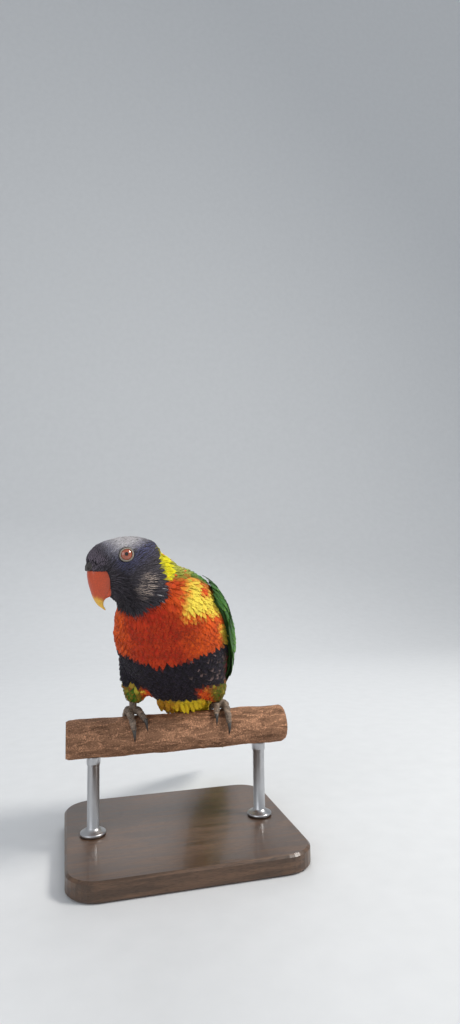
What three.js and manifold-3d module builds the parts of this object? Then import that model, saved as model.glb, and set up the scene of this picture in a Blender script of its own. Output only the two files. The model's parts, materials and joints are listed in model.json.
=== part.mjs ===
// A rainbow lorikeet at life size, perched on a short length of branch that a plain display stand holds.
// Millimetres, +Z up. The origin is the centre of the stand's underside, and the branch lies along X.
// Everything above the stand is built round the branch's axis: x along the branch, -y to the front, z up.

import * as THREE from "three";
import { mergeVertices } from "three/addons/utils/BufferGeometryUtils.js";
import Module from "manifold-3d";

const wasm = await Module();
wasm.setup();

// Clearance between touching pieces
const GAP = 0.3;

// Posture: headings turn to the bird's right, and the dip points the bill below level
const BODY_TURN = 25;
const HEAD_TURN = 52;
const HEAD_DIP = 33;
const HEAD_CENTRE = { left: -19.5, forward: 68, up: 112.5 };

// Body sections from rump to neck: centre, half width, and half heights on the back and belly side
const BODY = [
  { left: -1, forward: -48, up: 9, wide: 5, back: 4, belly: 4.5 },
  { left: 0, forward: -38, up: 17.5, wide: 13, back: 9.5, belly: 11 },
  { left: 1, forward: -23, up: 31, wide: 24.5, back: 17, belly: 22 },
  { left: 1, forward: -6, up: 46, wide: 33.5, back: 23, belly: 31 },
  { left: 1, forward: 12, up: 63, wide: 37, back: 26.5, belly: 33 },
  { left: 1, forward: 30, up: 81, wide: 36, back: 28, belly: 30 },
  { left: -2, forward: 43, up: 93, wide: 31, back: 23, belly: 26 },
  { left: -6, forward: 52, up: 101, wide: 20, back: 16, belly: 18 },
];
const BODY_STEPS = 18;
const BODY_SIDES = 28;
const SQUARE = 0.88;

const NECK = [
  { left: 1, forward: 36, up: 90, wide: 22, back: 20, belly: 20 },
  { left: -4, forward: 47, up: 100, wide: 21.5, back: 19.5, belly: 20 },
  { left: -10, forward: 56, up: 107, wide: 19.5, back: 17.5, belly: 19.5 },
  { left: -16, forward: 63, up: 110, wide: 16, back: 15, belly: 16 },
];

// Head sections from nape to the root of the bill, in the head's own frame
const HEAD = [
  { forward: -26, up: 0, wide: 9, back: 2, belly: 10 },
  { forward: -21, up: 0, wide: 14, back: 8, belly: 16 },
  { forward: -14, up: 0, wide: 16.3, back: 13, belly: 19 },
  { forward: -6, up: 0, wide: 16.5, back: 16.2, belly: 19.5 },
  { forward: 2, up: 0, wide: 13.8, back: 18.2, belly: 19.2 },
  { forward: 7, up: 0, wide: 9.6, back: 18, belly: 17 },
  { forward: 11, up: 0, wide: 6.4, back: 16.8, belly: 14 },
  { forward: 14.3, up: 0, wide: 4.6, back: 14.2, belly: 11 },
  { forward: 16, up: 0, wide: 3, back: 11, belly: 8 },
];
const HEAD_STEPS = 14;
const HEAD_SIDES = 24;

const EYE = { left: 12.8, forward: -4.9, up: 4.9, radius: 4.4, flat: 0.86, front: 8, lift: 14 };
const LID = { ring: 4.2, thick: 0.75, out: 2.7 };

// Bill: the ridge and the cutting edge as [forward, up] in the head's frame, and the half width between them
const BILL_UPPER = [
  { ridge: [13.1, 10], edge: [6.5, -6], wide: 7.2 },
  { ridge: [16.5, 7.4], edge: [9.2, -8.3], wide: 6.6 },
  { ridge: [19, 2.7], edge: [12, -10.2], wide: 5.8 },
  { ridge: [20.7, -2.5], edge: [14.8, -11.4], wide: 4.7 },
  { ridge: [21.9, -7.6], edge: [17.8, -12.2], wide: 3.4 },
  { ridge: [22, -12.4], edge: [19.5, -14.2], wide: 2.1 },
  { ridge: [20.2, -17.6], edge: [19.6, -17.2], wide: 0.6 },
];
const BILL_LOWER = [
  { ridge: [9, -4], edge: [10.4, -12.2], wide: 5.4 },
  { ridge: [12.4, -6], edge: [13, -12.8], wide: 5 },
  { ridge: [14.8, -8], edge: [15.2, -12.6], wide: 4.2 },
  { ridge: [16.6, -9.6], edge: [16.8, -12.2], wide: 2.8 },
];
const BILL_SQUARE = 0.75;
const CERE = [
  { ridge: [13, 12.4], edge: [11, 4], wide: 6.6 },
  { ridge: [15.4, 11.2], edge: [13.2, 5.2], wide: 6.2 },
  { ridge: [17.3, 8.8], edge: [16, 6], wide: 4.4 },
];
const NOSTRIL = { left: 3, forward: 17.2, up: 8.1, radius: 0.7 };

// The shell that the folded wings lie on, from the bend of the wing back to beyond their tips
const WING_SHELL = [
  { left: -2, forward: 43, up: 93, wide: 31.5, back: 24, belly: 27 },
  { left: 1, forward: 30, up: 81, wide: 36.8, back: 29, belly: 30 },
  { left: 1, forward: 12, up: 63, wide: 37.6, back: 27.5, belly: 33 },
  { left: 1, forward: -6, up: 46, wide: 34.3, back: 24, belly: 31 },
  { left: 1, forward: -23, up: 31, wide: 25.5, back: 18, belly: 22 },
  { left: 0, forward: -41, up: 15.5, wide: 16, back: 13, belly: 14 },
  { left: 0, forward: -61, up: 0, wide: 11.5, back: 10.5, belly: 11 },
  { left: 0, forward: -84, up: -16, wide: 10, back: 10, belly: 10 },
];
// The wing's shoulder sheet: its reach along the shell and its upper and lower edges in degrees from the back
const SHOULDER = { from: 11, to: 70, upper: [52, 26], lower: [86, 96], lift: [2.6, 1.4] };
// The flank feathers cover more of the right wing's lower edge than of the left one's, in degrees
const TUCK = { left: -4, right: 14 };
// Feather rows of a wing, from the innermost feather to the outermost. Reach is in mm from the bend of the
// wing, edges are in degrees from the back, and lifts are in mm above the shell at root and tip.
const WING_ROWS = [
  { count: 5, root: [60, 64], tip: [118, 148], rootAt: [36, 86], tipAt: [13, 40], wide: 11, lift: [1.5, 1.1] },
  { count: 4, root: [40, 46], tip: [90, 110], rootAt: [26, 88], tipAt: [15, 82], wide: 18, lift: [1.5, 2] },
  { count: 4, root: [20, 24], tip: [60, 70], rootAt: [36, 88], tipAt: [25, 89], wide: 18, lift: [1.8, 2.9] },
];
const VANE = { thick: 0.7, tilt: 0.9, steps: 3, across: 1 };

// Tail: its root on the body, its slope below level, and the feather pairs from the middle outwards
const TAIL = { forward: -47, up: 9.5, slope: 31, pairs: 6, longest: 118, step: 9, wide: 9.6, steps: 5 };
const TAIL_SPREAD = { first: 0.8, each: 1.5, shift: 1.15, drop: 0.5 };
const TAIL_COVERTS = { count: 3, reach: 34, wide: 10, spread: 9 };

// Legs: feet along the branch, thigh sections from hip to heel, and toes as angles round the branch from its top
const FEET = { right: { x: -31, swing: 1 }, left: { x: 29.5, swing: -1 } };
const THIGH = {
  hip: { left: 18, right: -22, forward: 8, up: 48 },
  radius: { hip: 19, heel: 8.5 },
  heel: { up: 21, back: 3 },
  flat: 0.85,
  steps: 9,
  sides: 18,
};
const SHANK = { radius: 2.2, pad: [6, 5, 3.2] };
const TOES = [
  { name: "outer_front", start: -3.1, turn: [8, 66], claw: 98, drift: 1.3, girth: 2.6 },
  { name: "inner_front", start: 3.1, turn: [8, 42], claw: 70, drift: 3, girth: 2.4 },
  { name: "outer_back", start: -3.1, turn: [-8, -64], claw: -96, drift: -2.4, girth: 2.6 },
  { name: "inner_back", start: 3.1, turn: [-8, -36], claw: -60, drift: 2.4, girth: 2.3 },
];
const TOE_STEPS = 7;
const TOE_SIDES = 8;
const CLAW = { steps: 4, sides: 6, root: 1.5, point: 0.3, arch: 1.2 };

// Branch and stand
const BRANCH = { radius: 12.5, length: 150, steps: 12, sides: 24, bump: 0.5 };
const BASE = { width: 150, depth: 130, thick: 12, corner: 18, bevel: 1.5 };
const RODS = { radius: 4, spread: 57, sides: 24 };
const TAIL_CLEARANCE = 8;

const radians = THREE.MathUtils.degToRad;
const mix = THREE.MathUtils.lerp;

// Frames: each turns (left, forward, up) of the bird or of its head into the branch's frame
const turned = new THREE.Matrix4().makeRotationZ(-radians(BODY_TURN));
const bird = (left, forward, up) => new THREE.Vector3(left, -forward, up).applyMatrix4(turned);

const headPose = new THREE.Matrix4()
  .makeRotationZ(-radians(BODY_TURN + HEAD_TURN))
  .multiply(new THREE.Matrix4().makeRotationX(radians(HEAD_DIP)))
  .setPosition(bird(HEAD_CENTRE.left, HEAD_CENTRE.forward, HEAD_CENTRE.up));
const head = (left, forward, up) => new THREE.Vector3(left, -forward, up).applyMatrix4(headPose);

const tailDown = radians(TAIL.slope);
const tail = (left, along, lift) =>
  bird(
    left,
    TAIL.forward - along * Math.cos(tailDown) - lift * Math.sin(tailDown),
    TAIL.up - along * Math.sin(tailDown) + lift * Math.cos(tailDown),
  );

const leftOf = (frame) => frame(1, 0, 0).sub(frame(0, 0, 0));

// A closed solid over rings of points, with both faces of a thin sheet split alike
function ringSolid(rings) {
  const sides = rings[0].length;
  const points = rings.flat();
  const faces = [];
  for (let r = 0; r + 1 < rings.length; r++) {
    for (let i = 0; i < sides; i++) {
      const a = r * sides + i;
      const b = r * sides + ((i + 1) % sides);
      const c = a + sides;
      const d = b + sides;
      if (i < sides / 2) faces.push([a, b, d], [a, d, c]);
      else faces.push([a, b, c], [b, d, c]);
    }
  }
  const middle = (ring) => ring.reduce((sum, p) => sum.add(p), new THREE.Vector3()).divideScalar(sides);
  const first = points.length;
  points.push(middle(rings[0]), middle(rings.at(-1)));
  const lastRing = (rings.length - 1) * sides;
  for (let i = 0; i < sides; i++) {
    const next = (i + 1) % sides;
    faces.push([first, next, i], [first + 1, lastRing + i, lastRing + next]);
  }
  const volume = faces.reduce((sum, [a, b, c]) => {
    return sum + points[a].dot(new THREE.Vector3().crossVectors(points[b], points[c]));
  }, 0);
  if (volume < 0) faces.forEach((face) => face.reverse());
  return new wasm.Manifold(
    new wasm.Mesh({
      numProp: 3,
      vertProperties: new Float32Array(points.flatMap((p) => p.toArray())),
      triVerts: new Uint32Array(faces.flat()),
    }),
  );
}

// A solid from a three.js geometry
function solidOf(geometry) {
  const bare = new THREE.BufferGeometry().setAttribute("position", geometry.getAttribute("position"));
  bare.setIndex(geometry.index);
  const merged = mergeVertices(bare, 1e-3);
  return new wasm.Manifold(
    new wasm.Mesh({
      numProp: 3,
      vertProperties: merged.attributes.position.array,
      triVerts: new Uint32Array(merged.index.array),
    }),
  );
}

function largest(solid) {
  return solid.decompose().reduce((best, piece) => (piece.volume() > best.volume() ? piece : best));
}

function meshOf(name, solid, material) {
  const { numProp, vertProperties, triVerts } = largest(solid).getMesh();
  const positions = new Float32Array((vertProperties.length / numProp) * 3);
  for (let i = 0; i < positions.length / 3; i++)
    positions.set(vertProperties.subarray(i * numProp, i * numProp + 3), i * 3);
  const geometry = new THREE.BufferGeometry();
  geometry.setAttribute("position", new THREE.BufferAttribute(positions, 3));
  geometry.setIndex(new THREE.BufferAttribute(new Uint32Array(triVerts), 1));
  geometry.computeVertexNormals();
  const mesh = new THREE.Mesh(geometry, material);
  mesh.name = name;
  return mesh;
}

const joined = (solids) => solids.reduce((sum, piece) => sum.add(piece));

// Smooth curves through the centres and the girths of a list of sections
function curvesOf(frame, sections) {
  const centres = sections.map((s) => frame(s.left ?? 0, s.forward, s.up));
  const girths = sections.map((s) => new THREE.Vector3(s.wide, s.back, s.belly));
  return {
    left: leftOf(frame),
    centres: new THREE.CatmullRomCurve3(centres),
    girths: new THREE.CatmullRomCurve3(girths),
  };
}

// Pulls a round section towards a square one
const squared = (share, power) => Math.sign(share) * Math.pow(Math.abs(share), power);

// A point on the form at a share t of its length and an angle from its back, lifted off its surface
function formPoint(form, t, angle, lift) {
  const along = form.centres.getTangent(t);
  const left = form.left.clone().addScaledVector(along, -form.left.dot(along)).normalize();
  const back = new THREE.Vector3().crossVectors(along, left);
  if (back.z < 0) back.negate();
  const girth = form.girths.getPoint(t);
  const high = Math.cos(angle) > 0 ? girth.y : girth.z;
  return form.centres
    .getPoint(t)
    .addScaledVector(left, squared(Math.sin(angle), SQUARE) * (girth.x + lift))
    .addScaledVector(back, squared(Math.cos(angle), SQUARE) * (high + lift));
}

// A rounded form over sections, grown outwards all over by a clearance where one is given
function loft(frame, sections, steps, sides, grow = 0) {
  const form = curvesOf(frame, sections);
  const rings = [];
  for (let k = 0; k <= steps; k++) {
    const ring = [];
    for (let i = 0; i < sides; i++) ring.push(formPoint(form, k / steps, (2 * Math.PI * i) / sides, grow));
    rings.push(ring);
  }
  const push = (ring, t, way) => {
    const along = form.centres.getTangent(t).multiplyScalar(grow * way);
    ring.forEach((p) => p.add(along));
  };
  push(rings[0], 0, -1);
  push(rings.at(-1), 1, 1);
  return ringSolid(rings);
}

// A horn between a ridge curve and an edge curve, as a bill is
function horn(stations, steps, sides, grow = 0) {
  const ridge = new THREE.CatmullRomCurve3(stations.map((s) => head(0, ...s.ridge)));
  const edge = new THREE.CatmullRomCurve3(stations.map((s) => head(0, ...s.edge)));
  const width = new THREE.CatmullRomCurve3(stations.map((s) => new THREE.Vector3(s.wide, 0, 0)));
  const left = leftOf(head);
  const rings = [];
  for (let k = 0; k <= steps; k++) {
    const t = k / steps;
    const top = ridge.getPoint(t);
    const bottom = edge.getPoint(t);
    const middle = top.clone().add(bottom).multiplyScalar(0.5);
    const tall = top.sub(bottom);
    const high = tall.length() / 2 + grow;
    tall.normalize();
    const wide = width.getPoint(t).x + grow;
    const ring = [];
    for (let i = 0; i < sides; i++) {
      const angle = (2 * Math.PI * i) / sides;
      ring.push(
        middle
          .clone()
          .addScaledVector(tall, high * squared(Math.cos(angle), BILL_SQUARE))
          .addScaledVector(left, wide * squared(Math.sin(angle), BILL_SQUARE)),
      );
    }
    rings.push(ring);
  }
  return ringSolid(rings);
}

// A thin closed sheet between an outer and an inner surface, each given along (0 to 1) and across (-1 to 1)
function sheet(steps, across, outer, inner) {
  const rings = [];
  for (let k = 0; k <= steps; k++) {
    const ring = [];
    for (let j = 0; j <= across; j++) ring.push(outer(k / steps, (2 * j) / across - 1));
    for (let j = across; j >= 0; j--) ring.push(inner(k / steps, (2 * j) / across - 1));
    rings.push(ring);
  }
  return ringSolid(rings);
}

// Half width of a feather along its length, as a share of its widest
const roundVane = (k) => Math.min(1, 0.55 + 1.8 * k) * Math.sqrt(Math.max(0.03, 1 - Math.pow(k, 5)));
const pointedVane = (k) => Math.min(1, 0.5 + 2.4 * k) * Math.max(0.1, 1 - Math.pow(k, 2.6));
const thinTip = (k) => VANE.thick * (1 - 0.55 * Math.pow(k, 4));

// Wings
const shell = curvesOf(bird, WING_SHELL);
const shellLength = shell.centres.getLength();
function shellPoint(side, reach, degrees, lift) {
  const t = shell.centres.getUtoTmapping(reach / shellLength);
  return formPoint(shell, t, side * radians(degrees), lift);
}

function wingVane(side, row, share) {
  const reach = [mix(...row.root, share), mix(...row.tip, share)];
  const tuck = TUCK[side > 0 ? "left" : "right"] * share;
  const place = [mix(...row.rootAt, share) - tuck, mix(...row.tipAt, share) - tuck];
  const shellRadius = (k) => {
    const t = shell.centres.getUtoTmapping(mix(...reach, k) / shellLength);
    return shell.girths.getPoint(t).x;
  };
  const spot = (k, j, lift) => {
    const halfAngle = THREE.MathUtils.radToDeg(((row.wide / 2) * roundVane(k)) / shellRadius(k));
    const height = mix(...row.lift, k) + VANE.tilt * j + lift;
    return shellPoint(side, mix(...reach, k), mix(...place, k) + j * halfAngle, height);
  };
  return sheet(
    VANE.steps,
    VANE.across,
    (k, j) => spot(k, j, thinTip(k)),
    (k, j) => spot(k, j, 0),
  );
}

function shoulderSheet(side) {
  const spot = (k, j, lift) => {
    const upper = mix(...SHOULDER.upper, k);
    const lower = mix(...SHOULDER.lower, k) - TUCK[side > 0 ? "left" : "right"];
    return shellPoint(side, mix(SHOULDER.from, SHOULDER.to, k), mix(upper, lower, (j + 1) / 2), lift);
  };
  const swell = (k, j) => (0.35 + 0.65 * Math.sqrt(1 - Math.pow(j, 4))) * Math.min(1, 0.4 + 4 * k);
  return sheet(
    7,
    6,
    (k, j) => spot(k, j, 0.3 + mix(...SHOULDER.lift, k) * swell(k, j)),
    (k, j) => spot(k, j, -0.6),
  );
}

const bodySolid = loft(bird, BODY, BODY_STEPS, BODY_SIDES);
const bodyClear = loft(bird, BODY, BODY_STEPS, BODY_SIDES, GAP);

function wingSolid(side) {
  const pieces = [shoulderSheet(side)];
  for (const row of WING_ROWS)
    for (let i = 0; i < row.count; i++) pieces.push(wingVane(side, row, i / (row.count - 1)));
  return joined(pieces).subtract(bodyClear);
}

// Tail: a root block, feather pairs laid one under the next, and coverts over and under their roots
function tailVane(side, length, angle, shift, drop, wide, shape, from = 0) {
  const spot = (k, j, lift) => {
    const along = mix(from, length, k);
    const across = shift + (along - from) * Math.tan(radians(angle)) + (j * wide * shape(k)) / 2;
    const camber = -0.06 * Math.abs(across);
    return tail(side * across, along, drop + camber + lift);
  };
  return sheet(
    TAIL.steps,
    VANE.across,
    (k, j) => spot(k, j, thinTip(k)),
    (k, j) => spot(k, j, 0),
  );
}

function tailSolid() {
  const pieces = [];
  const block = [
    { forward: TAIL.forward + 4, up: TAIL.up + 3.4, wide: 7.5, back: 4.5, belly: 5.5 },
    { forward: TAIL.forward - 6, up: TAIL.up - 4.2, wide: 8, back: 4, belly: 5 },
    { forward: TAIL.forward - 15, up: TAIL.up - 10.5, wide: 7, back: 2.4, belly: 3.6 },
    { forward: TAIL.forward - 22, up: TAIL.up - 15.2, wide: 5, back: 1, belly: 2 },
  ];
  pieces.push(loft(bird, block, 6, 16));
  for (let pair = 0; pair < TAIL.pairs; pair++) {
    const length = TAIL.longest - pair * TAIL.step;
    const angle = TAIL_SPREAD.first + pair * TAIL_SPREAD.each;
    for (const side of [-1, 1])
      pieces.push(
        tailVane(side, length, angle, pair * TAIL_SPREAD.shift, -pair * TAIL_SPREAD.drop, TAIL.wide, pointedVane),
      );
  }
  for (let i = 0; i < TAIL_COVERTS.count; i++) {
    const across = (2 * i) / (TAIL_COVERTS.count - 1) - 1;
    const reach = TAIL_COVERTS.reach - 8 * Math.abs(across);
    const angle = TAIL_COVERTS.spread * across;
    pieces.push(tailVane(1, reach, angle, 4 * across, 2.2, TAIL_COVERTS.wide, roundVane, -2));
    pieces.push(tailVane(1, reach + 6, angle, 4 * across, -4.2, TAIL_COVERTS.wide, roundVane, -2));
  }
  return joined(pieces).subtract(bodyClear);
}

// Head with sockets and lids, and the bill. Each eye faces outwards, a little to the front and upwards.
function eyePose(side, out) {
  const turn = new THREE.Euler(0, -side * radians(EYE.lift), -side * radians(EYE.front), "ZYX");
  const pose = new THREE.Matrix4().makeRotationFromEuler(turn);
  pose.setPosition(side * EYE.left, -EYE.forward, EYE.up);
  pose.multiply(new THREE.Matrix4().makeTranslation(side * out, 0, 0));
  return headPose.clone().multiply(pose);
}

function eyeSolid(side, grow = 0) {
  const ball = new THREE.SphereGeometry(EYE.radius + grow, 12, 8);
  ball.applyMatrix4(new THREE.Matrix4().makeScale(EYE.flat, 1, 1));
  return solidOf(ball.applyMatrix4(eyePose(side, 0)));
}

function lidSolid(side) {
  const ring = new THREE.TorusGeometry(LID.ring, LID.thick, 5, 14);
  ring.applyMatrix4(new THREE.Matrix4().makeRotationY(Math.PI / 2));
  return solidOf(ring.applyMatrix4(eyePose(side, LID.out)));
}

function headSolid() {
  const whole = joined([loft(head, HEAD, HEAD_STEPS, HEAD_SIDES), lidSolid(1), lidSolid(-1)]);
  return whole.subtract(eyeSolid(1, GAP)).subtract(eyeSolid(-1, GAP));
}

function cereSolid() {
  const nostrils = [-1, 1].map((side) => {
    const spot = head(side * NOSTRIL.left, NOSTRIL.forward, NOSTRIL.up);
    return solidOf(new THREE.SphereGeometry(NOSTRIL.radius, 8, 6).translate(spot.x, spot.y, spot.z));
  });
  return horn(CERE, 3, 14).subtract(joined(nostrils));
}

// Legs and feet
const onBranch = (x, degrees, radius) =>
  new THREE.Vector3(x, -radius * Math.sin(radians(degrees)), radius * Math.cos(radians(degrees)));

function heelOf(foot) {
  return new THREE.Vector3(FEET[foot].x, THIGH.heel.back, THIGH.heel.up);
}

function thighSolid(foot, grow = 0) {
  const hip = bird(THIGH.hip[foot], THIGH.hip.forward, THIGH.hip.up);
  const heel = heelOf(foot);
  const along = heel.clone().sub(hip).normalize();
  const left = leftOf(bird).addScaledVector(along, -leftOf(bird).dot(along)).normalize();
  const front = new THREE.Vector3().crossVectors(left, along);
  const rings = [];
  for (let k = 0; k <= THIGH.steps; k++) {
    const t = k / THIGH.steps;
    const rounded = Math.sqrt(1 - 0.55 * Math.pow(t, 8));
    const radius = mix(THIGH.radius.hip, THIGH.radius.heel, t) * rounded;
    const middle = hip.clone().lerp(heel, t);
    const ring = [];
    for (let i = 0; i < THIGH.sides; i++) {
      const angle = (2 * Math.PI * i) / THIGH.sides;
      ring.push(
        middle
          .clone()
          .addScaledVector(left, (THIGH.flat * radius + grow) * Math.cos(angle))
          .addScaledVector(front, (radius + grow) * Math.sin(angle)),
      );
    }
    rings.push(ring);
  }
  return ringSolid(rings);
}

function tubeAlong(points, radii, sides) {
  const rings = points.map((point, k) => {
    const before = points[Math.max(0, k - 1)];
    const after = points[Math.min(points.length - 1, k + 1)];
    const along = after.clone().sub(before).normalize();
    const across = new THREE.Vector3(1, 0, 0).addScaledVector(along, -along.x).normalize();
    const outward = new THREE.Vector3().crossVectors(along, across);
    const ring = [];
    for (let i = 0; i < sides; i++) {
      const angle = (2 * Math.PI * i) / sides;
      ring.push(
        point
          .clone()
          .addScaledVector(across, radii[k] * Math.cos(angle))
          .addScaledVector(outward, radii[k] * Math.sin(angle)),
      );
    }
    return ring;
  });
  return ringSolid(rings);
}

function padSolid(foot, grow = 0) {
  const pad = new THREE.SphereGeometry(1, 14, 8);
  const [wide, deep, high] = SHANK.pad.map((size) => size + grow);
  pad.scale(wide, deep, high);
  pad.translate(FEET[foot].x, 0, BRANCH.radius + GAP + SHANK.pad[2] + BRANCH.bump);
  return solidOf(pad);
}

function footSolid(foot, thigh) {
  const heel = heelOf(foot);
  const floor = new THREE.Vector3(FEET[foot].x, 0, BRANCH.radius + SHANK.pad[2] + 1);
  const points = [];
  const radii = [];
  const steps = 6;
  for (let k = 0; k <= steps; k++) {
    points.push(floor.clone().lerp(heel, k / steps));
    radii.push(SHANK.radius * (1 + 0.25 * Math.pow(1 - k / steps, 3)));
  }
  return joined([tubeAlong(points, radii, 10), padSolid(foot)]).subtract(thigh);
}

function toeSolid(foot, toe) {
  const side = foot === "left" ? -1 : 1;
  const points = [];
  const radii = [];
  for (let k = 0; k <= TOE_STEPS; k++) {
    const t = k / TOE_STEPS;
    const knuckles = 1 + 0.1 * Math.cos(6 * Math.PI * t);
    const girth = toe.girth * mix(1, 0.72, t) * knuckles;
    const x = FEET[foot].x + side * (toe.start + (toe.drift + FEET[foot].swing) * t);
    points.push(onBranch(x, mix(...toe.turn, t), BRANCH.radius + BRANCH.bump + GAP + girth));
    radii.push(girth);
  }
  return tubeAlong(points, radii, TOE_SIDES).subtract(padSolid(foot, GAP));
}

function clawSolid(foot, toe) {
  const side = foot === "left" ? -1 : 1;
  const way = Math.sign(toe.claw);
  const points = [];
  const radii = [];
  for (let k = 0; k <= CLAW.steps; k++) {
    const t = k / CLAW.steps;
    const girth = mix(CLAW.root, CLAW.point, t);
    const x = FEET[foot].x + side * (toe.start + (toe.drift + FEET[foot].swing) * (1 + 0.25 * t));
    const height = girth + CLAW.arch * Math.sin(Math.PI * Math.min(1, 0.25 + t * 0.75));
    points.push(onBranch(x, mix(toe.turn[1] + 3 * way, toe.claw, t), BRANCH.radius + BRANCH.bump + GAP + height));
    radii.push(girth);
  }
  return tubeAlong(points, radii, CLAW.sides).subtract(toeSolid(foot, { ...toe, girth: toe.girth + GAP }));
}

// Branch with a slightly uneven bark surface
function branchSolid(grow = 0) {
  const rings = [];
  for (let k = 0; k <= BRANCH.steps; k++) {
    const x = BRANCH.length * (k / BRANCH.steps - 0.5);
    const ring = [];
    for (let i = 0; i < BRANCH.sides; i++) {
      const degrees = (360 * i) / BRANCH.sides;
      const wave = Math.sin(0.11 * x + radians(2 * degrees)) * Math.cos(0.07 * x - radians(degrees));
      const end = k === 0 || k === BRANCH.steps ? 1.2 : 0;
      ring.push(onBranch(x, degrees, BRANCH.radius + BRANCH.bump * wave - end + grow));
    }
    rings.push(ring);
  }
  return ringSolid(rings);
}

function baseGeometry() {
  const { width, depth, corner, bevel, thick } = BASE;
  const right = width / 2 - bevel;
  const front = depth / 2 - bevel;
  const outline = new THREE.Shape();
  outline.moveTo(-right + corner, -front);
  outline.lineTo(right - corner, -front);
  outline.absarc(right - corner, -front + corner, corner, -Math.PI / 2, 0);
  outline.lineTo(right, front - corner);
  outline.absarc(right - corner, front - corner, corner, 0, Math.PI / 2);
  outline.lineTo(-right + corner, front);
  outline.absarc(-right + corner, front - corner, corner, Math.PI / 2, Math.PI);
  outline.lineTo(-right, -front + corner);
  outline.absarc(-right + corner, -front + corner, corner, Math.PI, 1.5 * Math.PI);
  const slab = new THREE.ExtrudeGeometry(outline, {
    depth: thick - 2 * bevel,
    bevelThickness: bevel,
    bevelSize: bevel,
    bevelSegments: 1,
    curveSegments: 4,
  });
  return slab.translate(0, 0, bevel);
}

// Materials
const finish = (color, roughness, metalness = 0) => new THREE.MeshStandardMaterial({ color, roughness, metalness });
const blueFeather = finish(0x3a3f7a, 0.8);
const breastFeather = finish(0xc9391c, 0.8);
const napeFeather = finish(0xa9b51e, 0.8);
const greenFeather = finish(0x2f6b27, 0.7);
const thighFeather = finish(0x6a8a26, 0.8);
const billHorn = finish(0xc84a2a, 0.35);
const cereSkin = finish(0x4a4440, 0.6);
const eyeGloss = finish(0xb0502f, 0.15);
const footScale = finish(0x6f6a63, 0.7);
const clawHorn = finish(0x35302c, 0.4);
const bark = finish(0x7a5a4b, 0.9);
const standWood = finish(0x4a3a2e, 0.5);
const rodMetal = finish(0x9a9a9a, 0.35, 1);

// The whole model
const lowestTail = TAIL.up - (TAIL.longest + 4) * Math.sin(tailDown);
const branchHeight = BASE.thick + TAIL_CLEARANCE - lowestTail;

const headClear = loft(head, HEAD, HEAD_STEPS, HEAD_SIDES, GAP);
const cereClear = horn(CERE, 3, 14, GAP);

const raised = new THREE.Group();
raised.position.z = branchHeight;
raised.add(meshOf("torso", bodySolid.subtract(headClear), breastFeather));
const neckSolid = loft(bird, NECK, 8, 22).subtract(bodyClear).subtract(headClear);
raised.add(meshOf("neck", neckSolid, napeFeather));

const headGroup = new THREE.Group();
headGroup.add(meshOf("head", headSolid(), blueFeather));
const billUpper = horn(BILL_UPPER, 10, 14).subtract(cereClear).subtract(headClear);
const billLower = horn(BILL_LOWER, 4, 12).subtract(horn(BILL_UPPER, 10, 14, GAP)).subtract(headClear);
headGroup.add(meshOf("bill_upper", billUpper, billHorn));
headGroup.add(meshOf("bill_lower", billLower, billHorn));
headGroup.add(meshOf("cere", cereSolid().subtract(headClear), cereSkin));
headGroup.add(meshOf("eye_left", eyeSolid(1), eyeGloss));
headGroup.add(meshOf("eye_right", eyeSolid(-1), eyeGloss));
raised.add(headGroup);

raised.add(meshOf("wing_left", wingSolid(1).subtract(thighSolid("left", GAP)), greenFeather));
raised.add(meshOf("wing_right", wingSolid(-1).subtract(thighSolid("right", GAP)), greenFeather));
raised.add(meshOf("tail", tailSolid(), greenFeather));

for (const foot of ["left", "right"]) {
  const leg = new THREE.Group();
  const thigh = thighSolid(foot);
  leg.add(meshOf("thigh_" + foot, thigh.subtract(bodyClear), thighFeather));
  leg.add(meshOf("foot_" + foot, footSolid(foot, thigh), footScale));
  for (const toe of TOES) {
    leg.add(meshOf("toe_" + foot + "_" + toe.name, toeSolid(foot, toe), footScale));
    leg.add(meshOf("claw_" + foot + "_" + toe.name, clawSolid(foot, toe), clawHorn));
  }
  raised.add(leg);
}
raised.add(meshOf("perch", branchSolid(), bark));

const lorikeet = new THREE.Group();
lorikeet.add(raised);
lorikeet.add(meshOf("stand_base", solidOf(baseGeometry()), standWood));
const rodLength = branchHeight - BASE.thick - GAP;
for (const side of ["left", "right"]) {
  const rod = new THREE.CylinderGeometry(RODS.radius, RODS.radius, rodLength, RODS.sides).rotateX(Math.PI / 2);
  rod.translate(side === "left" ? RODS.spread : -RODS.spread, 0, -rodLength / 2);
  raised.add(meshOf("stand_rod_" + side, solidOf(rod).subtract(branchSolid(GAP)), rodMetal));
}

export default lorikeet;
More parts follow.
